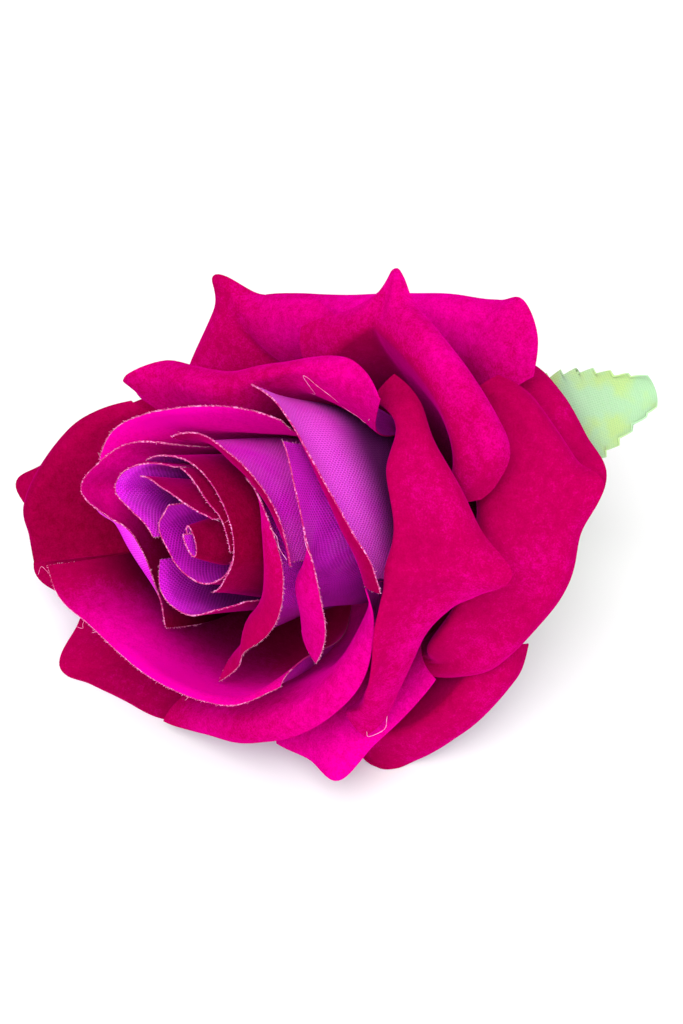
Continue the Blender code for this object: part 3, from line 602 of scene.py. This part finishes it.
class Nodes:
    """Short way to add and join shader nodes in one tree."""

    def __init__(self, tree):
        self.tree = tree

    def add(self, kind, inputs=None, **settings):
        node = self.tree.nodes.new(kind)
        for name, value in settings.items():
            setattr(node, name, value)
        for name, value in (inputs or {}).items():
            self.put(node, name, value)
        return node

    def put(self, node, name, value):
        socket = node.inputs[name]
        if isinstance(value, bpy.types.NodeSocket):
            self.tree.links.new(value, socket)
        else:
            socket.default_value = value

    def sum(self, kind, a, b, clamp=False):
        node = self.add("ShaderNodeMath", {0: a, 1: b}, operation=kind, use_clamp=clamp)
        return node.outputs[0]

    def blend(self, factor, a, b, mode="MIX"):
        node = self.add("ShaderNodeMix", data_type="RGBA", blend_type=mode)
        self.put(node, 0, factor)
        self.put(node, 6, a)
        self.put(node, 7, b)
        return node.outputs[2]

    def spread(self, value, low, high, to_low=0.0, to_high=1.0):
        node = self.add("ShaderNodeMapRange", {"Value": value, "From Min": low, "From Max": high,
                                               "To Min": to_low, "To Max": to_high})
        return node.outputs[0]

    def noise(self, where, scale, detail=2.0, rough=0.5):
        node = self.add("ShaderNodeTexNoise", {"Vector": where, "Scale": scale, "Detail": detail,
                                               "Roughness": rough})
        return node.outputs["Fac"]

    def here(self):
        """Position on the object, in metres."""
        return self.add("ShaderNodeTexCoord").outputs["Object"]

    def measure(self, name):
        """A number held by the points of the cloth, such as how near the rim they are."""
        return self.add("ShaderNodeAttribute", attribute_name=name).outputs["Fac"]

    def pattern(self, group, **inputs):
        """The outputs of a shared effect."""
        return self.add("ShaderNodeGroup", inputs, node_tree=group).outputs

    def ramp(self, value, place, low, middle, high):
        """Three colours along a value, with the middle one at a place of its own."""
        node = self.add("ShaderNodeValToRGB", {0: value})
        stops = node.color_ramp.elements
        stops[0].color = low
        stops[1].color = high
        stops.new(place).color = middle
        return node.outputs[0]

    def bump(self, shader, height, distance, strength):
        node = self.add("ShaderNodeBump", {"Height": height, "Distance": distance, "Strength": strength})
        self.put(shader, "Normal", node.outputs[0])


def new_group(name, inputs, outputs):
    group = bpy.data.node_groups.new(name, "ShaderNodeTree")
    for label, kind, value in inputs:
        socket = group.interface.new_socket(label, in_out="INPUT", socket_type=kind)
        if value is not None:
            socket.default_value = value
    for label, kind in outputs:
        group.interface.new_socket(label, in_out="OUTPUT", socket_type=kind)
    n = Nodes(group)
    return group, n, n.add("NodeGroupInput"), n.add("NodeGroupOutput")


def weave_group():
    """Plain weave from a flat position in metres: height of the threads, and a mask of their tops."""
    group, n, given, out = new_group(
        "Plain weave", [("Position", "NodeSocketVector", None), ("Pitch", "NodeSocketFloat", 0.0004),
                        ("Unevenness", "NodeSocketFloat", 0.25)],
        [("Height", "NodeSocketFloat"), ("Tops", "NodeSocketFloat")])
    turns = n.sum("DIVIDE", math.pi, given.outputs["Pitch"])
    split = n.add("ShaderNodeSeparateXYZ", {0: given.outputs["Position"]})
    wander = n.noise(given.outputs["Position"], 900.0, 2.0)
    amount = n.sum("MULTIPLY", given.outputs["Unevenness"], 6.0)
    drift = n.sum("MULTIPLY", n.sum("SUBTRACT", wander, 0.5), amount)
    waves = [n.sum("SINE", n.sum("ADD", n.sum("MULTIPLY", split.outputs[axis], turns), drift), 0.0)
             for axis in (0, 1)]
    over = n.sum("MULTIPLY", waves[0], waves[1])
    n.put(out, "Height", n.spread(over, -1.0, 1.0))
    n.put(out, "Tops", n.spread(n.sum("ABSOLUTE", over, 0.0), 0.25, 0.9))
    return group


def pile_group():
    """Short velvet pile from a position in metres: fine grain, brushed mottling and broad lie of the pile."""
    group, n, given, out = new_group(
        "Velvet pile", [("Position", "NodeSocketVector", None), ("Grain", "NodeSocketFloat", 3300.0)],
        [("Height", "NodeSocketFloat"), ("Mottling", "NodeSocketFloat"), ("Lie", "NodeSocketFloat")])
    where = given.outputs["Position"]
    grain = n.noise(where, given.outputs["Grain"], 2.0, 0.6)
    mottling = n.noise(where, 760.0, 3.0, 0.6)
    both = n.sum("ADD", n.sum("MULTIPLY", grain, 0.55), n.sum("MULTIPLY", mottling, 0.45))
    n.put(out, "Height", n.sum("ADD", grain, n.sum("MULTIPLY", mottling, 0.5)))
    n.put(out, "Mottling", n.spread(both, 0.36, 0.66))
    n.put(out, "Lie", n.spread(n.noise(where, 62.0, 2.0, 0.5), 0.34, 0.68))
    return group


def new_material(name, roughness, sheen=None, specular=0.0, glow=0.0):
    """A material with its uniform numbers set. sheen: weight, roughness and tint."""
    material = bpy.data.materials.new(name)
    material.use_nodes = True
    shader = material.node_tree.nodes["Principled BSDF"]
    values = {"Roughness": roughness, "Specular IOR Level": specular}
    if glow:
        values.update({"Subsurface Weight": glow, "Subsurface Radius": (1.0, 0.2, 0.45),
                       "Subsurface Scale": 0.0006})
    if sheen:
        values.update(zip(("Sheen Weight", "Sheen Roughness", "Sheen Tint"), sheen))
    for socket, value in values.items():
        shader.inputs[socket].default_value = value
    return Nodes(material.node_tree), shader


def velvet_material(group, settings):
    n, shader = new_material("velvet_face", 0.85, (0.45, 0.35, (1.0, 0.0, 0.45, 1.0)), 0.0, 0.35)
    pile = n.pattern(group, Position=n.here())
    # Painted light and shade: the painted light tone held by the points, shifted at random by the lie and
    # mottling of the pile.
    tone = n.sum("ADD", n.measure("tone"), n.spread(pile["Lie"], 0.0, 1.0, -0.07, 0.07))
    tone = n.sum("ADD", tone, n.spread(pile["Mottling"], 0.0, 1.0, -0.12, 0.12), True)
    base = n.ramp(tone, 0.5, settings.velvet_deep, settings.velvet_middle, settings.velvet_bright)
    # Painted shade: the colour is multiplied by the shade held by the points, darker deep in the hollows.
    n.put(shader, "Base Color", n.blend(1.0, base, n.measure("shade"), "MULTIPLY"))
    n.put(shader, "Roughness", n.spread(pile["Mottling"], 0.0, 1.0, 0.78, 0.95))
    n.bump(shader, pile["Height"], 0.00012, 0.45)


def woven_material(group, settings):
    """Smooth woven back of the velvet: saturated purple ground, paler where the threads lie on top."""
    n, shader = new_material("purple_back", 0.75, (0.08, 0.4, (1.0, 0.1, 1.0, 1.0)), 0.03, 0.2)
    where = n.add("ShaderNodeUVMap", uv_map="cloth").outputs[0]
    weave = n.pattern(group, Position=where, Pitch=0.00040, Unevenness=0.45)
    patches = n.noise(n.here(), 140.0, 3.0)
    # Painted light and shade of the woven back: the paleness held by the points, darker towards the root,
    # shifted at random by patches.
    pale = n.sum("ADD", n.measure("pale"), n.spread(patches, 0.35, 0.65, -0.15, 0.15), True)
    threads = n.ramp(pale, 0.6, settings.back_deep, settings.back_middle, settings.back_pale)
    ground = n.blend(1.0, threads, (0.60, 0.15, 0.60, 1.0), "MULTIPLY")
    base = n.blend(weave["Tops"], threads, ground)
    # Painted shade: the colour is multiplied by the shade held by the points.
    n.put(shader, "Base Color", n.blend(1.0, base, n.measure("shade"), "MULTIPLY"))
    n.put(shader, "Roughness", n.spread(weave["Tops"], 0.0, 1.0, 0.62, 0.85))
    n.bump(shader, weave["Height"], 0.00014, 0.9)


def thread_material(settings):
    n, shader = new_material("cut_thread", 0.7, (0.3, 0.5, (1.0, 0.7, 0.9, 1.0)), 0.2)
    where = n.here()
    fibre = n.noise(where, 5200.0, 2.0)
    patch = n.noise(where, 900.0, 2.0)
    red = (0.85, 0.02, 0.30, 1.0)
    white = (1.0, 0.75, 0.9, 1.0)
    colour = n.blend(n.spread(patch, 0.42, 0.62), red, settings.edge_colour)
    n.put(shader, "Base Color", n.blend(n.spread(fibre, 0.35, 0.65, 0.0, 0.35), colour, white))
    n.bump(shader, fibre, 0.00005, 0.4)


def edge_material(settings):
    n, shader = new_material("cut_edge", 0.8, (0.3, 0.5, (1.0, 0.3, 0.8, 1.0)), 0.0, 0.35)
    where = n.here()
    dots = n.noise(where, 3000.0, 1.0)
    patch = n.noise(where, 500.0, 2.0)
    both = n.sum("ADD", n.sum("MULTIPLY", dots, 0.6), n.sum("MULTIPLY", patch, 0.4))
    # Pale pink dots near the cut rim: partly pale thread ends, partly a painted highlight along the edge.
    rim = n.spread(n.measure("reach"), 0.80, 0.92)
    pink = n.sum("MULTIPLY", n.spread(both, 0.52, 0.64), rim)
    red = (0.42, 0.004, 0.14, 1.0)
    n.put(shader, "Base Color", n.blend(pink, red, settings.edge_colour))
    n.bump(shader, dots, 0.00008, 0.5)


def leaf_material(group, settings):
    n, shader = new_material("leaf_weave", 0.8, (0.3, 0.5, (0.9, 1.0, 0.85, 1.0)), 0.1)
    where = n.add("ShaderNodeUVMap", uv_map="cloth").outputs[0]
    weave = n.pattern(group, Position=where, Pitch=0.00042)
    patch = n.spread(n.noise(n.here(), 150.0, 3.0), 0.46, 0.60, 0.0, 0.85)
    yellow = (0.50, 0.74, 0.24, 1.0)
    base = n.blend(patch, settings.leaf_colour, yellow)
    dark = n.blend(0.40, base, (0.20, 0.50, 0.20, 1.0))
    n.put(shader, "Base Color", n.blend(weave["Tops"], base, dark))
    n.bump(shader, weave["Height"], 0.00008, 0.5)


def moulded_material(name, colour, roughness):
    n, shader = new_material(name, roughness, None, 0.4)
    spot = n.here()
    clouds = n.noise(spot, 160.0, 3.0)
    pits = n.noise(spot, 1900.0, 2.0)
    dark = tuple(c * 0.62 for c in colour[:3]) + (1.0,)
    n.put(shader, "Base Color", n.blend(n.spread(clouds, 0.35, 0.65), dark, colour))
    n.put(shader, "Roughness", n.spread(pits, 0.3, 0.7, roughness - 0.1, roughness + 0.15))
    n.bump(shader, pits, 0.00010, 0.35)


def floor_material(colour):
    n, shader = new_material("pale_floor", 0.9)
    low = tuple(c * 0.99 for c in colour[:3]) + (1.0,)
    n.put(shader, "Base Color", n.blend(n.noise(n.here(), 40.0, 2.0), low, colour))


def materials():
    """Every finish of the rose and its floor, made once and then looked up."""
    if "velvet_face" not in bpy.data.materials:
        settings = bpy.context.scene.rose
        weave = weave_group()
        velvet_material(pile_group(), settings)
        woven_material(weave, settings)
        thread_material(settings)
        edge_material(settings)
        leaf_material(weave, settings)
        moulded_material("calyx_finish", settings.calyx_colour, 0.5)
        moulded_material("receptacle_finish", settings.receptacle_colour, 0.6)
        floor_material(bpy.context.scene.rose_stage.floor_colour)
    return bpy.data.materials


def new_piece(name, bm, *finishes):
    """A linked object from finished mesh work."""
    mesh = bpy.data.meshes.new(name)
    bm.to_mesh(mesh)
    bm.free()
    for finish in finishes:
        mesh.materials.append(materials()[finish])
    piece = bpy.data.objects.new(name, mesh)
    bpy.context.scene.collection.objects.link(piece)
    return piece


def fine_grid(row, pressed, waviness, seed):
    """A petal in fine steps, moved as the pressed coarse petal was and slightly waved."""
    plain = petal_grid(row)
    shift = [[b - a for a, b in zip(one, two)] for one, two in zip(plain, pressed)]
    rows = range(len(shift[0]))
    fine = petal_grid(row, FINE_STEPS, FINE_ROWS, FINE_HEM_ROWS)
    wide = len(fine) - 1
    coarse = len(plain) - 1
    high = FINE_ROWS + FINE_HEM_ROWS
    for i, line in enumerate(fine):
        x = i / wide * coarse
        column_shift = [smooth_value([line_shift[b] for line_shift in shift], x) for b in rows]
        for j in range(high + 1):
            if j <= FINE_ROWS:
                y = j / FINE_ROWS * BODY_ROWS
            else:
                y = BODY_ROWS + (j - FINE_ROWS) / FINE_HEM_ROWS * HEM_ROWS
            line[j] = line[j] + smooth_value(column_shift, y)
    return rest_on_table(wave(fine, waviness, seed))


def wave(grid, height, seed):
    """Small soft waves across the cloth, growing towards the rim."""
    wide = len(grid) - 1
    high = len(grid[0]) - 1
    waved = []
    for i in range(wide + 1):
        line = []
        for j in range(high + 1):
            a = grid[min(i + 1, wide)][j] - grid[max(i - 1, 0)][j]
            b = grid[i][min(j + 1, high)] - grid[i][max(j - 1, 0)]
            normal = a.cross(b).normalized()
            spot = grid[i][j] * 75.0 + Vector((seed * 7.3, seed * 3.1, 0.0))
            amount = noise.noise(spot) + 0.45 * noise.noise(spot * 2.3)
            line.append(grid[i][j] + normal * amount * height * (j / high) ** 1.5)
        waved.append(line)
    return waved


def distances(points):
    """How far along its line each point lies, from the first one."""
    return [0.0] + list(itertools.accumulate((b - a).length for a, b in zip(points, points[1:])))


def cloth_from_grid(name, grid, faces, painted_light_tones=(0.5, 0.5, 0.5, 0.5, 0.5), shade=PLAIN_SHADE):
    """A two-faced sheet with its own cut edge from a grid of points.

    faces: front, back and edge finish. tones and shade: as in PAINTED_LIGHT_TONES and SHADES.
    """
    wide = len(grid) - 1
    high = len(grid[0]) - 1
    bm = bmesh.new()
    bmesh.ops.create_grid(bm, x_segments=wide, y_segments=high, size=1.0)
    flat = bm.loops.layers.uv.new("cloth")
    labels = ("reach", "tone", "pale", "shade")
    reach, tone, pale, shaded = [bm.verts.layers.float.new(label) for label in labels]
    across = distances([line[high] for line in grid])
    upward = distances(grid[wide // 2])
    places = {}
    for vertex in bm.verts:
        i = round((vertex.co.x + 1.0) / 2.0 * wide)
        j = round((vertex.co.y + 1.0) / 2.0 * high)
        places[vertex] = (i, j)
        vertex.co = grid[i][j]
        # Painted light and shade: brightness painted along the rim, fading to the root's value, which is
        # darker in the hollow.
        rim_painted_light = smooth_value(painted_light_tones[:3], 2.0 * i / wide)
        vertex[reach] = j / high
        vertex[tone] = painted_light_tones[3] + (rim_painted_light - painted_light_tones[3]) * min(1.0, max(0.0, (j / high - 0.25) / 0.45))
        # Painted light and shade on the woven back: paler where lit, darker towards the root.
        vertex[pale] = painted_light_tones[4] - max(0.0, 0.5 - j / high) * 0.5
        # Painted shade of the hollow, below a share of the height that moves from the first side to the last.
        far = (i / wide) ** 3
        start, full, dark = [a + (b - a) * far for a, b in zip(shade[:3], shade[3:] or shade)]
        lit = min(1.0, max(0.0, (j / high - start) / (full - start)))
        vertex[shaded] = dark + (1.0 - dark) * lit * lit * (3.0 - 2.0 * lit)
    for face in bm.faces:
        face.smooth = True
        for loop in face.loops:
            i, j = places[loop.vert]
            loop[flat].uv = (across[i], upward[j])
    piece = new_piece(name, bm, *faces)
    shell = piece.modifiers.new("thickness", "SOLIDIFY")
    shell.thickness = bpy.context.scene.rose.cloth_thickness
    shell.offset = 0.0
    shell.use_even_offset = False
    shell.material_offset = 1
    shell.material_offset_rim = 2
    return settle(piece)


def settle(piece):
    """Apply the modifiers, merge doubles, point faces outward and keep cut edges crisp."""
    depsgraph = bpy.context.evaluated_depsgraph_get()
    mesh = bpy.data.meshes.new_from_object(piece.evaluated_get(depsgraph))
    mesh.name = piece.name
    piece.modifiers.clear()
    piece.data = mesh
    bm = bmesh.new()
    bm.from_mesh(mesh)
    bmesh.ops.remove_doubles(bm, verts=bm.verts, dist=0.000004)
    bmesh.ops.dissolve_degenerate(bm, edges=bm.edges, dist=0.000002)
    bmesh.ops.recalc_face_normals(bm, faces=bm.faces)
    for edge in bm.edges:
        finishes = {face.material_index for face in edge.link_faces}
        if len(edge.link_faces) == 2 and len(finishes) == 2:
            edge.smooth = False
    bm.to_mesh(mesh)
    bm.free()
    return piece


def dress(piece, node):
    """Show a piece in the place of a node of the CAD model."""
    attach(piece, "root")
    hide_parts(node)


def dress_sheet(piece, node):
    """Dress a node in a sheet."""
    dress(piece, node)


def new_fringe(name, bm):
    """Threads that belong to a petal."""
    piece = new_piece(name, bm, "cut_thread")
    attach(piece, "root")


GRIDS = {}


def fine_grids():
    """Every petal and the rolled centre as a fine grid of points, made once.

    The coarse petals are laid from the middle outward, each one pressed clear of those inside it.
    """
    if not GRIDS:
        centre = rolled_centre(*CENTRE_COARSE)
        placed = [(tree(centre), tree(centre, CENTRE_MOUTH_ROW), [p for line in centre for p in line])]
        GRIDS["rolled_centre"] = rolled_centre(*CENTRE_FINE, MOUTH_FLATNESS)
        for seed, row in enumerate(PETALS):
            grid = rest_on_table(press_outward(petal_grid(row), placed))
            corners = [p for line in grid for p in line[:BODY_ROWS + 1]]
            placed.append((tree(grid, 0, BODY_ROWS), tree(grid, BODY_ROWS), corners))
            GRIDS[row[0]] = fine_grid(row, grid, bpy.context.scene.rose.waviness, seed)
    return GRIDS


def make_petal(node):
    grid = fine_grids()[node]
    faces = ("purple_back", "velvet_face")
    if node in BUD_PETALS or node == "rolled_centre":
        faces = ("velvet_face", "purple_back")
    edge = "cut_edge" if node in FRAYED else "velvet_face"
    name = node.replace("_petal", "_cloth_petal").replace("_centre", "_cloth_centre")
    piece = cloth_from_grid(name, grid, faces + (edge,), PAINTED_LIGHT_TONES[node], SHADES.get(node, PLAIN_SHADE))
    dress_sheet(piece, node)


class ROSE_OT_bud(bpy.types.Operator):
    """Rolled centre and the six velvet petals of the bud"""
    bl_idname = "rose.bud"
    bl_label = "Bud"

    def execute(self, context):
        make_petal("rolled_centre")
        for node in BUD_PETALS:
            make_petal(node)
        return {"FINISHED"}


class ROSE_OT_inner_petals(bpy.types.Operator):
    """Petals with frayed edges round the bud"""
    bl_idname = "rose.inner_petals"
    bl_label = "Inner petals"

    def execute(self, context):
        for node in INNER_PETALS:
            make_petal(node)
        return {"FINISHED"}


class ROSE_OT_outer_petals(bpy.types.Operator):
    """Open petals with rolled edges"""
    bl_idname = "rose.outer_petals"
    bl_label = "Outer petals"

    def execute(self, context):
        for row in PETALS:
            if row[0] not in FRAYED:
                make_petal(row[0])
        return {"FINISHED"}


def thread_end(bm, start, direction, length, width):
    """One tapered thread end of three sides from start along direction."""
    turn = direction.to_track_quat("Z", "Y").to_matrix().to_4x4()
    middle = Matrix.Translation(start + direction * (length / 2)) @ turn
    bmesh.ops.create_cone(bm, cap_ends=True, segments=3, radius1=width / 2, radius2=width * 0.22,
                          depth=length, matrix=middle)


def rim_lines(node):
    """The cut edges of a petal as lists of (point, outward direction)."""
    grid = fine_grids()[node]
    wide = len(grid) - 1
    high = len(grid[0]) - 1
    upper = range(high * 3 // 4, high + 1)
    top = [(line[high], (line[high] - line[high - 1]).normalized()) for line in grid]
    left = [(grid[0][j], (grid[0][j] - grid[1][j]).normalized()) for j in upper]
    right = [(grid[wide][j], (grid[wide][j] - grid[wide - 1][j]).normalized()) for j in upper]
    return [top, left, right]


def fray(bm, line, draw, settings):
    """Uneven thread ends along one cut edge."""
    carried = 0.0
    for (a, out_a), (b, out_b) in zip(line, line[1:]):
        span = (b - a).length
        if span < 1e-7:
            continue
        run = (b - a) / span
        while carried < span:
            share = carried / span
            outward = (out_a * (1 - share) + out_b * share).normalized()
            face = outward.cross(run).normalized()
            spot = a + run * carried + face * draw.uniform(-0.4, 0.4) * settings.cloth_thickness
            lean = run * draw.gauss(0.0, END_LEAN) + face * draw.gauss(0.0, END_TILT)
            length = settings.fray_length * draw.choice(END_LENGTHS)
            if draw.random() < LONG_END_SHARE:
                length *= LONG_END
            direction = (outward + lean).normalized()
            thread_end(bm, spot - direction * END_INSIDE, direction, length + END_INSIDE,
                       settings.thread_width * draw.uniform(0.8, 1.3))
            carried += settings.thread_pitch * draw.uniform(0.6, 1.4)
        carried -= span


class ROSE_OT_frayed_edges(bpy.types.Operator):
    """Short thread ends along the cut edges of the inner petals"""
    bl_idname = "rose.frayed_edges"
    bl_label = "Frayed edges"

    def execute(self, context):
        for number, node in enumerate(FRAYED):
            draw = random.Random(41 + number)
            bm = bmesh.new()
            for line in rim_lines(node):
                fray(bm, line, draw, context.scene.rose)
            new_fringe("frayed_edge_of_" + node, bm)
        return {"FINISHED"}


def thread_path(grid, places):
    """Points of a loose thread on or just past a petal."""
    wide = len(grid) - 1
    high = len(grid[0]) - 1
    points = []
    for u, v in places:
        line = grid[round(min(max(u, 0.0), 1.0) * wide)]
        over = max(0.0, v - 1.0)
        spot = line[round(min(v, 1.0) * high)]
        away = (line[high] - line[high - 2]).normalized()
        points.append(spot + away * (over * THREAD_OVERHANG) + FLOWER_AXIS * THREAD_LIFT)
    return points


def tube(bm, points, radius, sides=5, steps=6):
    """A thin round thread along a smooth line through the points."""
    last = len(points) - 1
    rings = []
    for k in range(last * steps + 1):
        x = k / steps
        spot = smooth_value(points, x)
        ahead = smooth_value(points, min(last, x + 0.1)) - smooth_value(points, max(0.0, x - 0.1))
        turn = ahead.to_track_quat("Z", "Y")
        rings.append([bm.verts.new(spot + turn @ Vector((math.cos(a), math.sin(a), 0.0)) * radius)
                      for a in (math.tau * side / sides for side in range(sides))])
    for one, two in zip(rings, rings[1:]):
        for a in range(sides):
            b = (a + 1) % sides
            bm.faces.new((one[a], one[b], two[b], two[a]))
    bm.faces.new(list(reversed(rings[0])))
    bm.faces.new(rings[-1])


class ROSE_OT_loose_threads(bpy.types.Operator):
    """Longer threads pulled out of the cut edges"""
    bl_idname = "rose.loose_threads"
    bl_label = "Loose threads"

    def execute(self, context):
        for node, threads in LOOSE_THREADS.items():
            bm = bmesh.new()
            radius = context.scene.rose.thread_width * 0.45
            for places in threads:
                tube(bm, thread_path(fine_grids()[node], places), radius)
            new_fringe("loose_threads_on_" + node, bm)
        return {"FINISHED"}


class ROSE_OT_leaf(bpy.types.Operator):
    """Toothed woven leaf behind the right side of the head"""
    bl_idname = "rose.leaf"
    bl_label = "Leaf"

    def execute(self, context):
        grid = leaf_grid()
        piece = cloth_from_grid("cloth_leaf", grid, ("leaf_weave", "leaf_weave", "leaf_weave"))
        dress_sheet(piece, "leaf")
        return {"FINISHED"}


def leaf_width(distance, length, across):
    """Half width of the leaf at a distance from its base, with teeth that lean towards the tip."""
    if distance <= 0.0:
        return LEAF_TAB_HALF_WIDTH
    share = distance / length
    inner = LEAF_HALF_WIDTH * math.sin(math.pi * min(1.0, 0.10 + 0.84 * share)) ** 0.7
    outer = LEAF_HALF_WIDTH * max(0.0, math.sin(math.pi * min(1.0, 0.10 + 0.90 * share))) ** 0.7
    tooth = (distance / LEAF_TOOTH + across * 0.15) % 1.0
    toothed = max(outer + LEAF_TOOTH_DEPTH * (tooth - 0.5), 0.8)
    margin = max(0.0, (abs(across) - 0.70) / 0.30) * min(1.0, (1.0 - share) * 7.0)
    return inner + (toothed - inner) * margin


def leaf_grid():
    """Points of the leaf from its tab to its tip, with pressed diagonal ribs."""
    ends = []
    for azimuth, radius in (LEAF_ROOT, LEAF_TIP):
        turn = math.radians(azimuth)
        ends.append(Vector((radius * math.cos(turn), radius * math.sin(turn), LEAF_HEIGHT)))
    root, tip = ends
    length = (tip - root).length
    run = (tip - root).normalized()
    side = Vector((-run.y, run.x, 0.0))
    tab = Vector((root.x, root.y, 0.0)).normalized()
    grid = []
    for i in range(LEAF_STEPS + 1):
        distance = -LEAF_TAB + (LEAF_TAB + length) * i / LEAF_STEPS
        line = []
        for j in range(LEAF_ROWS + 1):
            across = 2.0 * j / LEAF_ROWS - 1.0
            share = max(0.0, distance / length)
            width = leaf_width(distance, length, across)
            direction = run if distance > 0.0 else tab
            spot = root + direction * distance + side * (width * across)
            spot.z += LEAF_ARCH * math.sin(math.pi * share) + LEAF_CUP * across ** 2 * min(1.0, share * 4)
            ribs = (distance - abs(across) * width * 0.7) / LEAF_RIB_PITCH
            rib = LEAF_RIB_HEIGHT * math.sin(2 * math.pi * ribs)
            spot.z += rib * min(1.0, share * 6) * min(1.0, (1 - share) * 6)
            line.append(TO_WORLD @ (spot * MM))
        grid.append(line)
    return grid


def spun_piece(name, profile, bevel, finish, steps=96):
    """A moulded solid spun round the flower axis from a profile of radius and height in mm."""
    bm = bmesh.new()
    ring = [bm.verts.new((radius * MM, 0.0, height * MM)) for radius, height in profile]
    edges = [bm.edges.new((a, b)) for a, b in zip(ring, ring[1:])]
    bmesh.ops.spin(bm, geom=ring + edges, cent=(0, 0, 0), axis=(0, 0, 1), dvec=(0, 0, 0), angle=math.tau,
                   steps=steps, use_merge=True)
    bmesh.ops.remove_doubles(bm, verts=bm.verts, dist=0.00001)
    bmesh.ops.recalc_face_normals(bm, faces=bm.faces)
    sharp = [e for e in bm.edges if len(e.link_faces) == 2 and e.calc_face_angle() > math.radians(38)]
    bmesh.ops.bevel(bm, geom=sharp, offset=bevel * MM, affect="EDGES", segments=3, profile=0.5, material=-1)
    bmesh.ops.transform(bm, matrix=TO_WORLD, verts=bm.verts)
    for face in bm.faces:
        face.smooth = True
    return new_piece(name, bm, finish)


class ROSE_OT_moulded_parts(bpy.types.Operator):
    """Moulded core that carries the petals, and the calyx with its cut stem"""
    bl_idname = "rose.moulded_parts"
    bl_label = "Moulded parts"

    def execute(self, context):
        core = spun_piece("moulded_receptacle", [
            (0.0, CONE_FOOT_HEIGHT - 0.6), (CONE_FOOT_RADIUS, CONE_FOOT_HEIGHT - 0.6),
            (CONE_FOOT_RADIUS, CONE_FOOT_HEIGHT), (CONE_TOP_RADIUS, CONE_TOP_HEIGHT), (0.0, CONE_TOP_HEIGHT)],
            0.15, "receptacle_finish")
        dress(core, "receptacle")
        calyx = spun_piece("moulded_calyx_with_stem", [
            (0.0, CALYX_TOP), (15.0, CALYX_TOP), (14.2, CALYX_TOP - 3.0), (10.5, CALYX_TOP - 6.5),
            (5.5, CALYX_TOP - CALYX_DEPTH), (STEM_RADIUS, CALYX_TOP - CALYX_DEPTH - 2.0),
            (STEM_RADIUS, STEM_END), (0.0, STEM_END)], 0.25, "calyx_finish")
        dress(calyx, "calyx_with_stem")
        return {"FINISHED"}


def aimed(where, at):
    return Matrix.Translation(where) @ (at - where).to_track_quat("-Z", "Y").to_matrix().to_4x4()


def soft_light(name, where, at, size, power):
    light = bpy.data.lights.new(name, "AREA")
    light.shape = "DISK"
    light.size = size
    light.energy = power
    lamp = bpy.data.objects.new(name, light)
    lamp.matrix_world = aimed(where, at)
    bpy.context.scene.collection.objects.link(lamp)


def floor_piece(settings):
    bm = bmesh.new()
    bmesh.ops.create_grid(bm, x_segments=8, y_segments=8, size=settings.floor_size / 2)
    new_piece("floor", bm, "pale_floor")


def even_sky(strength):
    world = bpy.data.worlds.new("even_sky")
    world.use_nodes = True
    sky = world.node_tree.nodes["Background"]
    sky.inputs["Color"].default_value = (1.0, 1.0, 1.0, 1.0)
    sky.inputs["Strength"].default_value = strength
    return world


class ROSE_OT_stage(bpy.types.Operator):
    """Pale floor, soft lights, even sky and the camera"""
    bl_idname = "rose.stage"
    bl_label = "Stage"

    def execute(self, context):
        scene = context.scene
        settings = scene.rose_stage
        floor_piece(settings)

        elevation = settings.camera_elevation
        right = Vector((1.0, 0.0, 0.0))
        up = Vector((0.0, math.sin(elevation), math.cos(elevation)))
        back = Vector((0.0, -math.cos(elevation), math.sin(elevation)))
        centre = HEAD_BASE - right * HEAD_OFFSET[0] * MM - up * HEAD_OFFSET[1] * MM
        camera = bpy.data.cameras.new("camera")
        camera.lens = settings.lens
        camera.sensor_fit = "VERTICAL"
        camera.sensor_height = 36.0
        camera.clip_start = 0.01
        holder = bpy.data.objects.new("camera", camera)
        turn = Matrix((right, up, back)).transposed().to_4x4()
        holder.matrix_world = Matrix.Translation(centre + back * settings.camera_distance) @ turn
        scene.collection.objects.link(holder)
        scene.camera = holder

        soft_light("key_light", centre + KEY_PLACE, centre, KEY_SIZE, settings.key_power)
        fill = centre + back * FILL_BACK + right * FILL_SIDE
        soft_light("fill_light", fill, centre, FILL_SIZE, settings.fill_power)
        scene.world = even_sky(settings.sky_strength)
        scene.view_settings.view_transform = "Standard"
        return {"FINISHED"}


class ROSE_PT_panel(bpy.types.Panel):
    """Buttons for the pieces of the rose"""
    bl_label = "Cloth rose"
    bl_idname = "ROSE_PT_panel"
    bl_space_type = "VIEW_3D"
    bl_region_type = "UI"
    bl_category = "Cloth rose"

    def draw(self, context):
        for settings in (context.scene.rose, context.scene.rose_stage):
            for name in settings.bl_rna.properties.keys():
                if name not in ("rna_type", "name"):
                    self.layout.prop(settings, name)
        for operator in OPERATORS:
            self.layout.operator(operator.bl_idname)


OPERATORS = (ROSE_OT_stage, ROSE_OT_frayed_edges, ROSE_OT_loose_threads, ROSE_OT_bud, ROSE_OT_inner_petals,
             ROSE_OT_outer_petals, ROSE_OT_leaf, ROSE_OT_moulded_parts)
CLASSES = (RoseSettings, StageSettings) + OPERATORS + (ROSE_PT_panel,)


def register():
    for cls in CLASSES:
        bpy.utils.register_class(cls)
    bpy.types.Scene.rose = PointerProperty(type=RoseSettings)
    bpy.types.Scene.rose_stage = PointerProperty(type=StageSettings)


def unregister():
    del bpy.types.Scene.rose_stage
    del bpy.types.Scene.rose
    for cls in reversed(CLASSES):
        bpy.utils.unregister_class(cls)


def main():
    register()
    for operator in OPERATORS:
        group, name = operator.bl_idname.split(".")
        getattr(getattr(bpy.ops, group), name)()


if __name__ == "__main__":
    main()
